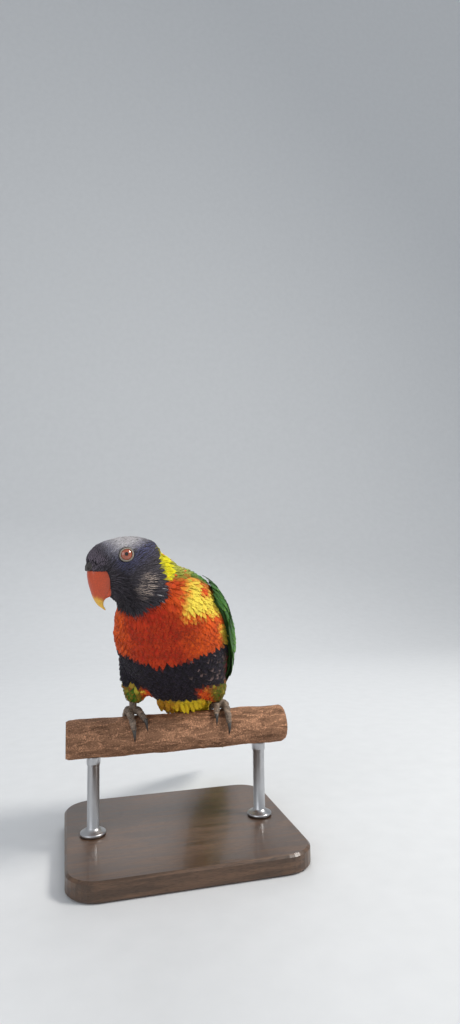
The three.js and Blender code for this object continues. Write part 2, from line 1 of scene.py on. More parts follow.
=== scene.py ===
import json
import math
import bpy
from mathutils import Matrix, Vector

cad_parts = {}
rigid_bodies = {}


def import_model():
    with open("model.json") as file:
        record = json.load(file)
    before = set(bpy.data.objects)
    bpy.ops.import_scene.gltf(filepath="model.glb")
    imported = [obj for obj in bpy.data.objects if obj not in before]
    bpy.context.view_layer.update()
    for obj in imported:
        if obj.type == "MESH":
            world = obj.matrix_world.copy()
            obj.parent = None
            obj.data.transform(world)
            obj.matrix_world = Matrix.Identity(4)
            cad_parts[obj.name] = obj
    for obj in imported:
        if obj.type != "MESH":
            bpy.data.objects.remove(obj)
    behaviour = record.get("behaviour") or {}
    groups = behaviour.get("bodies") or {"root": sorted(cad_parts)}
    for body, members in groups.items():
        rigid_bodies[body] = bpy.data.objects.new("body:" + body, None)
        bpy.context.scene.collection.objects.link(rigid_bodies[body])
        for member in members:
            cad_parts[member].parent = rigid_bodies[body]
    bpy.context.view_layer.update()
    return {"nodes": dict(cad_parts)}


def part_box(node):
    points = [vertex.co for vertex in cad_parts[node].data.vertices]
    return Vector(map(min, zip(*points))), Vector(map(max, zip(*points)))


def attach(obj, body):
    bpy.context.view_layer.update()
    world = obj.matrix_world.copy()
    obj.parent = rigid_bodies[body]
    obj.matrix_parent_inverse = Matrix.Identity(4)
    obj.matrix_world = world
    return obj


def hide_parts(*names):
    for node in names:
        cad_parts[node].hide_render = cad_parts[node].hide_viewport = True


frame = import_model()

from types import SimpleNamespace

import bpy
import numpy as np
from bpy.props import FloatProperty, FloatVectorProperty, PointerProperty
from mathutils import Euler, Matrix, Vector, noise
from mathutils.bvhtree import BVHTree

bl_info = {
    "name": "Rainbow Lorikeet on a Perch",
    "version": (1, 0, 0),
    "blender": (4, 5, 0),
    "location": "3D View > Sidebar > Lorikeet",
    "description": "Dresses the solids of a perched lorikeet in skin, feathers, horn and bark",
    "category": "Add Mesh",
}

# Millimetres in metres: the lists below hold millimetres, and the frames turn them into metres
MM = 0.001

# Posture, as in the solids: headings turn to the bird's right, the dip points the bill below level
BODY_TURN = math.radians(25)
HEAD_TURN = math.radians(52)
HEAD_DIP = math.radians(33)
HEAD_CENTRE = (-19.5, 68, 112.5)
PERCH_LOW, PERCH_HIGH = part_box("perch")
PERCH_HEIGHT = (PERCH_LOW.z + PERCH_HIGH.z) / 2

# The spine that the coat is unwrapped round, from rump to neck: left, forward, up
SPINE = (
    (-1, -48, 9), (0, -38, 17.5), (1, -23, 31), (1, -6, 46),
    (1, 12, 63), (1, 30, 81), (-2, 43, 93), (-6, 52, 101),
)

# The shell that the folded wings lie on: left, forward, up, half width, half height at the back and the belly
WING_SHELL = (
    (-2, 43, 93, 31.5, 24, 27),
    (1, 30, 81, 36.8, 29, 30),
    (1, 12, 63, 37.6, 27.5, 33),
    (1, -6, 46, 34.3, 24, 31),
    (1, -23, 31, 25.5, 18, 22),
    (0, -41, 15.5, 16, 13, 14),
    (0, -61, 0, 11.5, 10.5, 11),
    (0, -84, -16, 10, 10, 10),
)
SQUARE = 0.88

# Tail root, its slope below level, and the longest feather
TAIL_ROOT = (-47, 9.5)
TAIL_SLOPE = math.radians(31)
TAIL_LONGEST = 118

# Bill: ridge and cutting edge as (forward, up) in the head's frame, and the half width
BILL_UPPER = (
    ((12.6, 10.5), (2.5, -5), 7.4),
    ((13.1, 10), (6.5, -6), 7.2),
    ((16.5, 7.4), (9.2, -8.3), 6.6),
    ((19, 2.7), (12, -10.2), 5.8),
    ((20.7, -2.5), (14.8, -11.4), 4.7),
    ((21.9, -7.6), (17.8, -12.2), 3.4),
    ((22, -12.4), (19.5, -14.2), 2.1),
    ((20.2, -17.6), (19.6, -17.2), 0.6),
)
BILL_LOWER = (
    ((9, -4), (10.4, -11.6), 5.4),
    ((12.4, -6), (13, -12.2), 5),
    ((14.8, -8), (15.2, -11.9), 4.2),
    ((16.6, -9.6), (16.8, -11.6), 2.8),
)
CERE = (
    ((12.6, 12.6), (11, 6), 5.4),
    ((14.2, 11.7), (12.8, 6.2), 5.2),
    ((15.6, 10.3), (14.6, 6.8), 4.6),
    ((16.6, 8.8), (16, 7.4), 3.4),
)
# The feathers' edges over the bill's root, above and behind: forward, up, and the slope, in the head's frame
BILL_LINE = (7, 1.6, 0.65)
BILL_REAR = (9.3, -3.2, -0.5)
BILL_SQUARE = 0.75
NOSTRIL = (3.3, 15.6, 9.3)

# Eyes: place in the head's frame, ball radius, its flattening, and how far it faces to the front and upwards
EYE_PLACE = (12.8, -4.9, 4.9)
EYE_RADIUS = 4.4
EYE_FLAT = 0.86
EYE_FRONT = math.radians(8)
EYE_LIFT = math.radians(14)
# Dark rim of the iris and middle of the bare ring, as radii, and the beads round the ring
IRIS_RIM = 3.7
EYE_RING = 3.92
EYE_BEADS = 44

# Feet: place along the perch, and the way that the toes swing
FEET = {"right": (-31, 1), "left": (29.5, -1)}
# Toes: start across the foot, turn round the perch from its top, end of the claw, drift across, girth
TOES = {
    "outer_front": (-3.1, (8, 66), 98, 1.3, 2.6),
    "inner_front": (3.1, (8, 42), 70, 3, 2.4),
    "outer_back": (-3.1, (-8, -64), -96, -2.4, 2.6),
    "inner_back": (3.1, (-8, -36), -60, 2.4, 2.3),
}
PERCH_RADIUS = 12.5
PERCH_BUMP = 0.5
GAP = 0.3
SHANK_SCUTES = 13
TOE_SCUTES = 11
# Signs of the bird's own sides
SIDES = {"left": 1, "right": -1}
SEED = 11


# Frames
def spin(angle):
    """Turn about the vertical, as a numpy matrix."""
    c, s = math.cos(angle), math.sin(angle)
    return np.array(((c, -s, 0), (s, c, 0), (0, 0, 1)))


def nod(angle):
    """Turn about the left-to-right axis, as a numpy matrix."""
    c, s = math.cos(angle), math.sin(angle)
    return np.array(((1, 0, 0), (0, c, -s), (0, s, c)))


FACING = np.diag((1, -1, 1))
BODY_AXES = spin(-BODY_TURN) @ FACING
HEAD_AXES = spin(-BODY_TURN - HEAD_TURN) @ nod(HEAD_DIP) @ FACING
PERCH_POINT = np.array((0, 0, PERCH_HEIGHT))


def bird(points):
    """(left, forward, up) in millimetres from the perch's axis, into metres in the row frame."""
    return np.asarray(points, float) @ BODY_AXES.T * MM + PERCH_POINT


def in_bird(points):
    """Row-frame metres back into the bird's (left, forward, up) in millimetres."""
    return (np.asarray(points) - PERCH_POINT) @ BODY_AXES / MM


HEAD_POINT = bird(HEAD_CENTRE)


def head(points):
    """(left, forward, up) in the head's own frame, in millimetres, into metres in the row frame."""
    return np.asarray(points, float) @ HEAD_AXES.T * MM + HEAD_POINT


def in_head(points):
    """Row-frame metres back into the head's (left, forward, up) in millimetres."""
    return (np.asarray(points) - HEAD_POINT) @ HEAD_AXES / MM


def tail_place(points):
    """(left, along, lift) on the tail in millimetres, into metres in the row frame."""
    left, along, lift = np.moveaxis(np.asarray(points, float), -1, 0)
    c, s = math.cos(TAIL_SLOPE), math.sin(TAIL_SLOPE)
    forward = TAIL_ROOT[0] - along * c - lift * s
    up = TAIL_ROOT[1] - along * s + lift * c
    return bird(np.stack((left, forward, up), -1))


# Small sums
def unit(v):
    return v / np.maximum(np.linalg.norm(v, axis=-1, keepdims=True), 1e-12)


def mix(a, b, t):
    return a + (b - a) * t


def ramp(x, low, high):
    """A smooth step from 0 at low to 1 at high."""
    t = np.clip((np.asarray(x, float) - low) / (high - low), 0, 1)
    return t * t * (3 - 2 * t)


def squared(share, power):
    """A sine or cosine made fuller, for sections between a circle and a square."""
    return np.sign(share) * np.abs(share) ** power


def circle(sides):
    """Angles of points spread evenly round a circle."""
    return np.linspace(0, 2 * math.pi, sides, endpoint=False)


def turned_back(back):
    """Vectors across the spine, turned over where they point down."""
    return np.where(back[..., 2:3] < 0, -back, back)


def ripple(p, scale):
    """A smooth, repeatable unevenness between about -1 and 1, from a few crossed waves."""
    x, y, z = np.moveaxis(np.asarray(p) * scale, -1, 0)
    first = np.sin(1.3 * x + 2.1 * y + 0.7 * z) * np.sin(1.7 * y - 1.1 * z + 0.4)
    second = np.sin(2.9 * x - 1.9 * z + 1.7) * np.sin(2.3 * y + 2.7 * x + 0.9)
    return 0.6 * first + 0.4 * second


def inside(piece, spots):
    """Which spots lie inside a closed piece: a ray from them leaves it through the back of a face."""
    points, corners, _ = mesh_arrays(piece)
    tree = BVHTree.FromPolygons(points.tolist(), corners.tolist())
    hidden = np.zeros(len(spots), bool)
    way = Vector((0.13, -0.21, 0.97)).normalized()
    near = np.all((spots > points.min(0)) & (spots < points.max(0)), axis=1)
    for i in np.flatnonzero(near):
        _, normal, _, _ = tree.ray_cast(spots[i], way)
        hidden[i] = normal is not None and normal.dot(way) > 0
    return hidden


def smooth_curve(points, t):
    """A centripetal curve through points of any dimension, at shares t of its spans."""
    points = np.asarray(points, float)
    t = np.asarray(t, float)
    last = len(points) - 1
    place = np.clip(t, 0, 1) * last
    span = np.minimum(place.astype(int), last - 1)
    w = (place - span)[..., None]
    padded = np.vstack((2 * points[0] - points[1], points, 2 * points[-1] - points[-2]))
    p0, p1, p2, p3 = (padded[span + k] for k in range(4))
    chords = (p1 - p0, p2 - p1, p3 - p2)
    d0, d1, d2 = (np.maximum(np.linalg.norm(chord, axis=-1, keepdims=True) ** 0.5, 1e-9) for chord in chords)
    m1 = ((p1 - p0) / d0 - (p2 - p0) / (d0 + d1) + (p2 - p1) / d1) * d1
    m2 = ((p2 - p1) / d1 - (p3 - p1) / (d1 + d2) + (p3 - p2) / d2) * d1
    c2 = -3 * p1 + 3 * p2 - 2 * m1 - m2
    c3 = 2 * p1 - 2 * p2 + m1 + m2
    return p1 + m1 * w + c2 * w**2 + c3 * w**3


class Form:
    """A rounded form over sections, the same one as in the solids, with points found by reach and angle."""

    def __init__(self, sections):
        rows = np.array(sections, float)
        self.centres = bird(rows[:, :3])
        self.girths = rows[:, 3:] * MM
        fine = np.linspace(0, 1, 400)
        steps = np.linalg.norm(np.diff(smooth_curve(self.centres, fine), axis=0), axis=1)
        self.fine = fine
        self.reaches = np.concatenate(([0], np.cumsum(steps))) / MM

    def share(self, reach):
        return np.interp(reach, self.reaches, self.fine)

    def axes_at(self, t):
        """The ways to the left and to the back, across the form."""
        nudge = 1e-4
        ahead = smooth_curve(self.centres, np.clip(t + nudge, 0, 1))
        behind = smooth_curve(self.centres, np.clip(t - nudge, 0, 1))
        along = unit(ahead - behind)
        side = BODY_AXES[:, 0]
        left = unit(side - (along @ side)[..., None] * along)
        return left, turned_back(np.cross(along, left))

    def point(self, reach, degrees, lift):
        """A point at reach mm along and degrees from the back, lift mm over the surface."""
        reach, degrees, lift = np.broadcast_arrays(reach, degrees, lift)
        t = self.share(reach)
        angle = np.radians(degrees)
        left, back = self.axes_at(t)
        girth = smooth_curve(self.girths, t)
        high = np.where(np.cos(angle) > 0, girth[..., 1], girth[..., 2]) + lift * MM
        wide = girth[..., 0] + lift * MM
        centre = smooth_curve(self.centres, t)
        sideways = (squared(np.sin(angle), SQUARE) * wide)[..., None] * left
        upwards = (squared(np.cos(angle), SQUARE) * high)[..., None] * back
        return centre + sideways + upwards


# Mesh building
def new_piece(name, points, faces, material=None):
    """A mesh object at the row frame's origin."""
    mesh = bpy.data.meshes.new(name)
    mesh.from_pydata([tuple(p) for p in np.asarray(points).reshape(-1, 3)], [], faces)
    mesh.validate()
    mesh.update()
    mesh.shade_smooth()
    piece = bpy.data.objects.new(name, mesh)
    bpy.context.scene.collection.objects.link(piece)
    if material:
        mesh.materials.append(material)
    return piece


def fast_mesh(name, points, loops, starts):
    """A mesh from flat numpy arrays, for pieces of very many faces."""
    mesh = bpy.data.meshes.new(name)
    mesh.vertices.add(len(points))
    mesh.vertices.foreach_set("co", np.ascontiguousarray(points, np.float32).ravel())
    mesh.loops.add(len(loops))
    mesh.loops.foreach_set("vertex_index", np.ascontiguousarray(loops, np.int32))
    mesh.polygons.add(len(starts))
    mesh.polygons.foreach_set("loop_start", np.ascontiguousarray(starts, np.int32))
    mesh.update(calc_edges=True)
    mesh.shade_smooth()
    return mesh


def put_values(mesh, name, kind, values):
    """A named attribute on the points, for the materials to read."""
    attribute = mesh.attributes.new(name, kind, "POINT")
    key = {"FLOAT": "value", "FLOAT_VECTOR": "vector", "FLOAT_COLOR": "color"}[kind]
    attribute.data.foreach_set(key, np.ascontiguousarray(values, np.float32).ravel())


def with_alpha(colours):
    colours = np.asarray(colours, float)
    return np.concatenate((colours, np.ones(colours.shape[:-1] + (1,))), -1)


def ring_faces(rings, sides):
    """Quads over closed rings, with a fan at each end."""
    faces = []
    for r in range(rings - 1):
        for i in range(sides):
            a = r * sides + i
            b = r * sides + (i + 1) % sides
            faces.append((a, b, b + sides, a + sides))
    first = rings * sides
    last = (rings - 1) * sides
    for i in range(sides):
        j = (i + 1) % sides
        faces.append((first, j, i))
        faces.append((first + 1, last + i, last + j))
    return faces


def ring_piece(name, rings, material, values=None):
    """A closed piece over an array of rings (rings, sides, 3), facing outwards, with values on its points."""
    rings = np.asarray(rings)
    count, sides = rings.shape[:2]
    ends = np.stack((rings[0].mean(0), rings[-1].mean(0)))
    points = np.vstack((rings.reshape(-1, 3), ends))
    faces = ring_faces(count, sides)
    a, b, c = (points[[f[k] for f in faces]] for k in range(3))
    if np.einsum("ij,ij->i", a, np.cross(b, c)).sum() < 0:
        faces = [tuple(reversed(f)) for f in faces]
    piece = new_piece(name, points, faces, material)
    for key, (kind, array) in (values or {}).items():
        array = np.asarray(array, float)
        ends = np.stack((array[0].mean(0), array[-1].mean(0)))
        flat = array.reshape((count * sides,) + array.shape[2:])
        put_values(piece.data, key, kind, np.concatenate((flat, ends)))
    return piece


def mesh_arrays(piece):
    """Points, triangles and point normals of a mesh object."""
    mesh = piece.data
    mesh.calc_loop_triangles()

    def read(items, key, kind):
        values = np.zeros(len(items) * 3, kind)
        items.foreach_get(key, values)
        return values.reshape(-1, 3)

    points, normals = (read(mesh.vertices, key, np.float32).astype(float) for key in ("co", "normal"))
    return points, read(mesh.loop_triangles, "vertices", np.int32), normals


# Materials
class Recipe:
    """A node material under way, with short names for the nodes that the looks are made of."""

    def __init__(self, name):
        self.material = bpy.data.materials.new(name)
        self.material.use_nodes = True
        self.tree = self.material.node_tree
        self.row_frame = None

    def feed(self, node, values):
        """Links sockets and sets plain numbers and colours on a node's inputs."""
        for key, value in values.items():
            if isinstance(value, bpy.types.NodeSocket):
                self.tree.links.new(value, node.inputs[key])
            else:
                node.inputs[key].default_value = value

    def node(self, kind, inputs=None, output=0, **settings):
        node = self.tree.nodes.new(kind)
        for key, value in settings.items():
            setattr(node, key, value)
        self.feed(node, inputs or {})
        return node.outputs[output]

    def reckon(self, operation, *values):
        return self.node("ShaderNodeMath", dict(enumerate(values)), operation=operation)

    def plus(self, first, second):
        return self.reckon("ADD", first, second)

    def times(self, first, second):
        return self.reckon("MULTIPLY", first, second)

    def stored(self, name, output="Fac"):
        """A value that the mesh carries on its points."""
        return self.node("ShaderNodeAttribute", output=output, attribute_name=name)

    def place(self, scale=None):
        """Places in the row frame, stretched along an axis by a scale under 1."""
        self.row_frame = self.row_frame or self.node("ShaderNodeTexCoord", output="Object")
        if scale is None:
            return self.row_frame
        return self.node("ShaderNodeMapping", {"Vector": self.row_frame, "Scale": scale})

    def noise(self, vector, scale, detail, **more):
        inputs = {"Scale": scale, "Detail": detail, **more}
        if vector:
            inputs["Vector"] = vector
        return self.node("ShaderNodeTexNoise", inputs)

    def split(self, vector):
        """The three parts of a vector."""
        node = self.tree.nodes.new("ShaderNodeSeparateXYZ")
        self.feed(node, {"Vector": vector})
        return tuple(node.outputs)

    def blend(self, share, first, second, kind="MIX"):
        """Two colours mixed by a share from 0 to 1."""
        inputs = {0: share, 6: first, 7: second}
        return self.node("ShaderNodeMix", inputs, 2, data_type="RGBA", blend_type=kind)

    def between(self, value, low, high, to_low=0.0, to_high=1.0):
        """A smooth remap of a value between two limits."""
        inputs = {"Value": value, "From Min": low, "From Max": high, "To Min": to_low, "To Max": to_high}
        return self.node("ShaderNodeMapRange", inputs, interpolation_type="SMOOTHSTEP")

    def shaded(self, colour, shade):
        """A colour made darker or lighter by a value."""
        grey = self.node("ShaderNodeCombineColor", {0: shade, 1: shade, 2: shade})
        return self.blend(1.0, colour, grey, "MULTIPLY")

    def bump(self, height, strength, depth):
        return self.node("ShaderNodeBump", {"Strength": strength, "Distance": depth * MM, "Height": height})

    def surface(self, colour, roughness, normal=None, **more):
        """Finishes the material: its names for sockets have underscores for spaces."""
        inputs = {"Base Color": colour, "Roughness": roughness}
        if normal:
            inputs["Normal"] = normal
        inputs.update({key.replace("_", " "): value for key, value in more.items()})
        self.feed(self.tree.nodes["Principled BSDF"], inputs)
        return self.material


def feather_material(name, gloss, barbs, streaked):
    """Feathers with fine slanted barbs, and a second colour along the rim, or along the shaft if streaked."""
    m = Recipe(name)
    vane = m.stored("vane", "Vector")
    along, across, chance = m.split(vane)
    off_shaft = m.reckon("ABSOLUTE", across)
    slant = m.plus(m.times(along, barbs), m.times(off_shaft, -0.45 * barbs))
    wobble = m.noise(vane, 9.0, 2.0)
    lines = m.reckon("SINE", m.plus(m.times(slant, 6.283), m.times(wobble, 4.0)))
    if streaked:
        second = m.between(m.plus(off_shaft, m.times(wobble, 0.3)), 0.25, 0.8, 1.0, 0.0)
        second = m.times(second, m.between(along, 0.15, 0.5))
    else:
        near_tip = m.between(m.plus(along, m.times(wobble, 0.25)), 0.8, 1.15)
        near_edge = m.between(off_shaft, 0.7, 1.0, 0.0, 0.6)
        second = m.reckon("MAXIMUM", near_tip, near_edge)
    colour = m.blend(second, m.stored("tint", "Color"), m.stored("rim", "Color"))
    shade = m.plus(m.plus(m.times(chance, 0.26), 0.87), m.times(lines, 0.05))
    # Painted shade: darker towards the root, which lies under the feathers laid over it
    shade = m.times(shade, m.between(along, 0.0, 0.5, 0.5, 1.0))
    shaft = m.between(off_shaft, 0.0, 0.09, 1.1, 1.0)
    return m.surface(
        m.shaded(colour, m.times(shade, shaft)),
        m.plus(m.times(wobble, 0.2), gloss - 0.1),
        m.bump(m.plus(m.times(lines, 0.5), shaft), 0.35, 0.2),
        Specular_IOR_Level=0.22,
        Sheen_Weight=0.05,
        Sheen_Roughness=0.5,
    )


def skin_material(name):
    """The skin under the feathers, in the same markings but darker as painted shade deep in the coat, with a
    fine pore grain.
    """
    m = Recipe(name)
    grain = m.noise(None, 1400.0, 4.0)
    colour = m.shaded(m.stored("tint", "Color"), m.between(grain, 0.2, 0.8, 0.3, 0.6))
    return m.surface(colour, 0.85, m.bump(grain, 0.5, 0.3))


def horn_material(name, root, middle, tip, root_end, tip_start, gloss):
    """Horn that turns from one colour to the next along its length, with faint growth lines and wear, and
    painted shade where it runs under the feathers.
    """
    m = Recipe(name)
    reach, place = m.stored("reach"), m.place()
    cloud = m.noise(place, 260.0, 4.0)
    uneven = m.plus(reach, m.times(m.reckon("SUBTRACT", cloud, 0.5), 0.16))
    colour = m.blend(m.between(uneven, 0.0, root_end), root, middle)
    colour = m.blend(m.between(uneven, tip_start, tip_start + 0.14), colour, tip)
    # Painted shade: near-black where the cover value marks horn that runs under the feathers
    colour = m.blend(m.stored("cover"), colour, (0.012, 0.011, 0.014, 1))
    fine = m.noise(place, 1500.0, 3.0)
    lines = m.reckon("SINE", m.plus(m.times(reach, 90.0), m.times(cloud, 9.0)))
    return m.surface(
        m.shaded(colour, m.between(fine, 0.25, 0.75, 0.82, 1.08)),
        m.between(cloud, 0.3, 0.7, gloss, gloss + 0.14),
        m.bump(m.plus(m.times(lines, 0.3), fine), 0.25, 0.15),
        Coat_Weight=0.25,
        Subsurface_Weight=0.08,
        Subsurface_Radius=(0.002, 0.001, 0.0005),
        Subsurface_Scale=0.5,
    )


def scaly_material(name, base, pale, scale, gloss):
    """Bare scaly skin: small plates, as many to a metre as the scale, with pale parts and darker grooves."""
    m = Recipe(name)
    place = m.place()
    cells = m.node("ShaderNodeTexVoronoi", {"Vector": place, "Scale": scale}, feature="DISTANCE_TO_EDGE")
    cloud = m.noise(place, 0.3 * scale, 4.0)
    plate = m.between(cells, 0.02, 0.16)
    colour = m.blend(plate, colour4(base, 0.4), base)
    colour = m.blend(m.between(cloud, 0.45, 0.75), colour, pale)
    return m.surface(colour, m.between(cloud, 0.3, 0.7, gloss, gloss + 0.2), m.bump(plate, 0.6, 0.3))


def eye_material(name, pupil, iris, rim):
    """A wet eye: black pupil, a red-orange iris with fine spokes, and a dark rim."""
    m = Recipe(name)
    ring, spoke = m.stored("ring"), m.stored("spoke")
    inputs = {"W": spoke, "Scale": 14.0, "Detail": 3.0}
    spokes = m.node("ShaderNodeTexNoise", inputs, noise_dimensions="1D")
    colour = m.blend(m.between(spokes, 0.35, 0.65), colour4(iris, 0.45), iris)
    colour = m.blend(m.between(ring, pupil - 0.05, pupil + 0.05), (0.002, 0.002, 0.002, 1), colour)
    colour = m.blend(m.between(ring, rim - 0.5, rim), colour, (0.01, 0.006, 0.005, 1))
    return m.surface(colour, 0.06, Coat_Weight=1.0, Coat_Roughness=0.02)


def bark_material(name, dark, middle, pale):
    """Weathered bark: fine furrows, gritty grain, and pale crests as a painted highlight where the relief
    stands highest.
    """
    m = Recipe(name)
    place, long = m.place(), m.place((0.28, 1.0, 1.0))
    cloud = m.noise(long, 210.0, 9.0, Roughness=0.72)
    grit = m.noise(place, 1100.0, 8.0, Roughness=0.75)
    furrow = m.noise(long, 520.0, 5.0, Distortion=1.2)
    colour = m.blend(m.between(cloud, 0.3, 0.6), dark, middle)
    # Painted highlight: pale where the bark's relief and grit stand highest
    crest = m.plus(m.times(m.stored("relief"), 0.7), m.times(grit, 1.3))
    colour = m.blend(m.between(crest, 0.95, 1.6), colour, pale)
    colour = m.blend(m.between(furrow, 0.28, 0.44, 0.35, 1.0), dark, colour)
    colour = m.blend(m.between(grit, 0.56, 0.68, 0.0, 0.7), colour, pale)
    height = m.plus(m.times(m.between(furrow, 0.28, 0.44), 0.6), m.plus(cloud, m.times(grit, 0.8)))
    colour = m.shaded(colour, m.between(grit, 0.25, 0.75, 0.65, 1.3))
    return m.surface(colour, 0.9, m.bump(height, 1.0, 0.9), Specular_IOR_Level=0.25)


# How far the pith lies above the perch's axis, in metres
PITH_RISE = 0.0012


def end_grain_material(name, pith, ring):
    """Sawn ends of the perch: growth rings round the pith, with a rough sawn grain."""
    m = Recipe(name)
    place = m.place()
    _, front, up = m.split(place)
    up = m.reckon("SUBTRACT", up, PERCH_HEIGHT + PITH_RISE)
    out = m.reckon("SQRT", m.plus(m.reckon("POWER", front, 2.0), m.reckon("POWER", up, 2.0)))
    phase = m.plus(m.times(out, 5200.0), m.times(m.noise(place, 220.0, 3.0), 5.0))
    colour = m.blend(m.between(m.reckon("SINE", phase), -0.4, 1.0), pith, ring)
    rough = m.noise(place, 2200.0, 4.0)
    colour = m.shaded(colour, m.between(rough, 0.3, 0.7, 0.75, 1.1))
    return m.surface(colour, 0.85, m.bump(rough, 0.5, 0.3))


def stand_wood_material(name, dark, pale):
    """Oiled dark wood with long grain and open pores."""
    m = Recipe(name)
    long = m.place((0.09, 1.0, 1.0))
    grain = m.noise(long, 260.0, 7.0, Distortion=0.7)
    pores = m.noise(long, 2600.0, 2.0)
    colour = m.blend(m.between(grain, 0.38, 0.66), dark, pale)
    colour = m.shaded(colour, m.between(pores, 0.3, 0.55, 0.6, 1.0))
    gloss = m.between(grain, 0.3, 0.7, 0.3, 0.45)
    return m.surface(colour, gloss, m.bump(pores, 0.2, 0.2), Coat_Weight=0.2)


def rod_material(name):
    """Brushed steel, with fine lines round the rod and a few faint smears."""
    m = Recipe(name)
    lines = m.noise(m.place((1.0, 1.0, 26.0)), 700.0, 2.0)
    smears = m.noise(m.place(), 90.0, 3.0)
    colour = m.blend(lines, (0.42, 0.42, 0.43, 1), (0.6, 0.6, 0.61, 1))
    gloss = m.between(smears, 0.35, 0.7, 0.28, 0.42)
    return m.surface(colour, gloss, m.bump(lines, 0.1, 0.1), Metallic=1.0)


def paper_material(name):
    """Pale studio paper with a faint tooth."""
    m = Recipe(name)
    tooth = m.noise(m.place(), 60.0, 5.0)
    return m.surface(m.blend(tooth, (0.72, 0.73, 0.74, 1), (0.78, 0.79, 0.8, 1)), 0.9)


def material_named(name, maker, *arguments):
    """One shared material, made the first time that it is asked for."""
    return bpy.data.materials.get(name) or maker(name, *arguments)


def colour4(value, share=1.0):
    """A colour for a node, made darker or lighter by a share."""
    return (*(min(1.0, share * part) for part in value[:3]), 1.0)


# Markings: every feather and the skin under it take their colours from these zones
HOOD_MIDDLE = (5, 0)
HOOD_REACH = 28.2
BIB_REACH = 3.2
COLLAR_WIDTH = 9
BELLY_LINE = (49, 0.34)


# Steps of the spine that places are measured from, and points that are looked up at once
SPINE_STEPS = 160
BLOCK = 4000


def spine_places(points):
    """Distance along the spine from the rump in mm, and the angle from the belly round it in degrees."""
    spine = smooth_curve(SPINE, np.linspace(0, 1, SPINE_STEPS))
    steps = np.linalg.norm(np.diff(spine, axis=0), axis=1)
    reach = np.concatenate(([0], np.cumsum(steps)))
    tangents = unit(np.gradient(spine, axis=0))
    nearest = np.zeros(len(points), int)
    for start in range(0, len(points), BLOCK):
        part = slice(start, start + BLOCK)
        nearest[part] = ((points[part, None, :] - spine[None]) ** 2).sum(-1).argmin(1)
    offset = points - spine[nearest]
    along = tangents[nearest]
    left = unit(np.array((1.0, 0, 0)) - along[:, :1] * along)
    back = turned_back(np.cross(along, left))
    sideways = (offset * left).sum(1)
    angle = np.degrees(np.arctan2(sideways, -(offset * back).sum(1)))
    return reach[nearest], angle


def layered(colour, *layers):
    """A colour with others laid over it, each by its own share."""
    colour = np.tile(colour, (len(layers[0][0]), 1))
    for share, over in layers:
        colour = mix(colour, over, share[:, None])
    return colour


def zones_at(points, jitter=0.0):
    """Shares of the zones of the markings at row-frame points, which jitter moves before the look-up."""
    p = in_bird(points) + jitter
    h = in_head(points) + jitter
    along, angle = spine_places(p)
    side = np.abs(angle)
    wave = ripple(p, 0.16)
    out = np.hypot(h[:, 1] - HOOD_MIDDLE[0], h[:, 2] - HOOD_MIDDLE[1])
    below = np.abs(np.degrees(np.arctan2(-h[:, 2], -(h[:, 1] - HOOD_MIDDLE[0]))))
    under = np.where(h[:, 2] < 0, below, 0)
    near = np.linalg.norm(p - np.array(HEAD_CENTRE), axis=1) < 60
    narrow = 5 * ramp(np.abs(h[:, 0] - 4), 6, 14) * ramp(under, 74, 88)
    cheek = 2.6 * ramp(under, 34, 44) * (1 - ramp(under, 66, 76))
    hood_end = HOOD_REACH + BIB_REACH * ramp(under, 44, 60) - narrow + cheek + 4 * ramp(h[:, 2], -3, 5)
    hood = 1 - ramp(out, hood_end - 0.5, hood_end + 0.6)
    collar_end = HOOD_REACH + 4 * ramp(h[:, 2], -3, 5) + COLLAR_WIDTH * (1 - ramp(under, 34, 52)) + 0.8 * wave
    collar = (1 - ramp(out, collar_end - 0.8, collar_end + 1.2)) * (1 - ramp(under, 50, 56))
    mantle = (1 - ramp(out, 44, 49)) * (1 - ramp(under, 37, 44))
    hood, collar, mantle = (np.where(near, zone, 0) for zone in (hood, collar, mantle))
    outer = np.abs(p[:, 0] - 1)
    spot = np.linalg.norm(np.stack((outer - 29, p[:, 1] - 45, p[:, 2] - 97), -1), axis=1)
    line = BELLY_LINE[0] + BELLY_LINE[1] * np.abs(p[:, 0]) + 1.2 * wave
    thigh = (1 - ramp(p[:, 2] + 0.8 * wave, 31, 35)) * ramp(outer, 14.5, 17.5) * ramp(p[:, 1], -30, -16)
    flank = ramp(side, 66, 84) * (1 - ramp(p[:, 2], 50, 58)) * ramp(outer, 20, 25)
    left = p[:, 0]
    front_up = p[:, 2] + 0.25 * p[:, 1]
    vent = (1 - ramp(front_up, 25, 28)) * (1 - ramp(p[:, 1], 12, 15)) * (1 - ramp(side, 110, 125))
    gold = ramp(left + 1.8 * wave, 14.5, 24) * ramp(p[:, 2], 77, 86)
    gold = gold * (1 - ramp(side, 96, 106)) * ramp(spot, 2, 7)
    low_side = ramp(left, 12, 20) * (1 - ramp(p[:, 2], 54, 60)) * ramp(p[:, 2], 34, 38) * (1 - thigh)
    return SimpleNamespace(
        p=p,
        h=h,
        along=along,
        wave=wave,
        out=out,
        under=under,
        outer=outer,
        hood=hood,
        collar=collar,
        back=np.maximum(ramp(side, 98, 112) * (1 - hood), mantle),
        belly=1 - ramp(p[:, 2], line - 0.8, line + 0.8),
        vent=vent,
        thigh=thigh,
        flank=flank,
        gold=gold,
        nape=(1 - ramp(out, 44, 56)) * (1 - ramp(under, 34, 46)),
        edge=ramp(side, 70, 84) * ramp(p[:, 2], 58, 62) * (1 - ramp(p[:, 2], 70, 78)),
        shoulder=ramp(side, 30, 70),
        side=low_side,
    )


def palette(looks):
    """The colours of a group of looks, as arrays."""
    return SimpleNamespace(**{key: np.array(getattr(looks, key)) for key in looks.__annotations__})


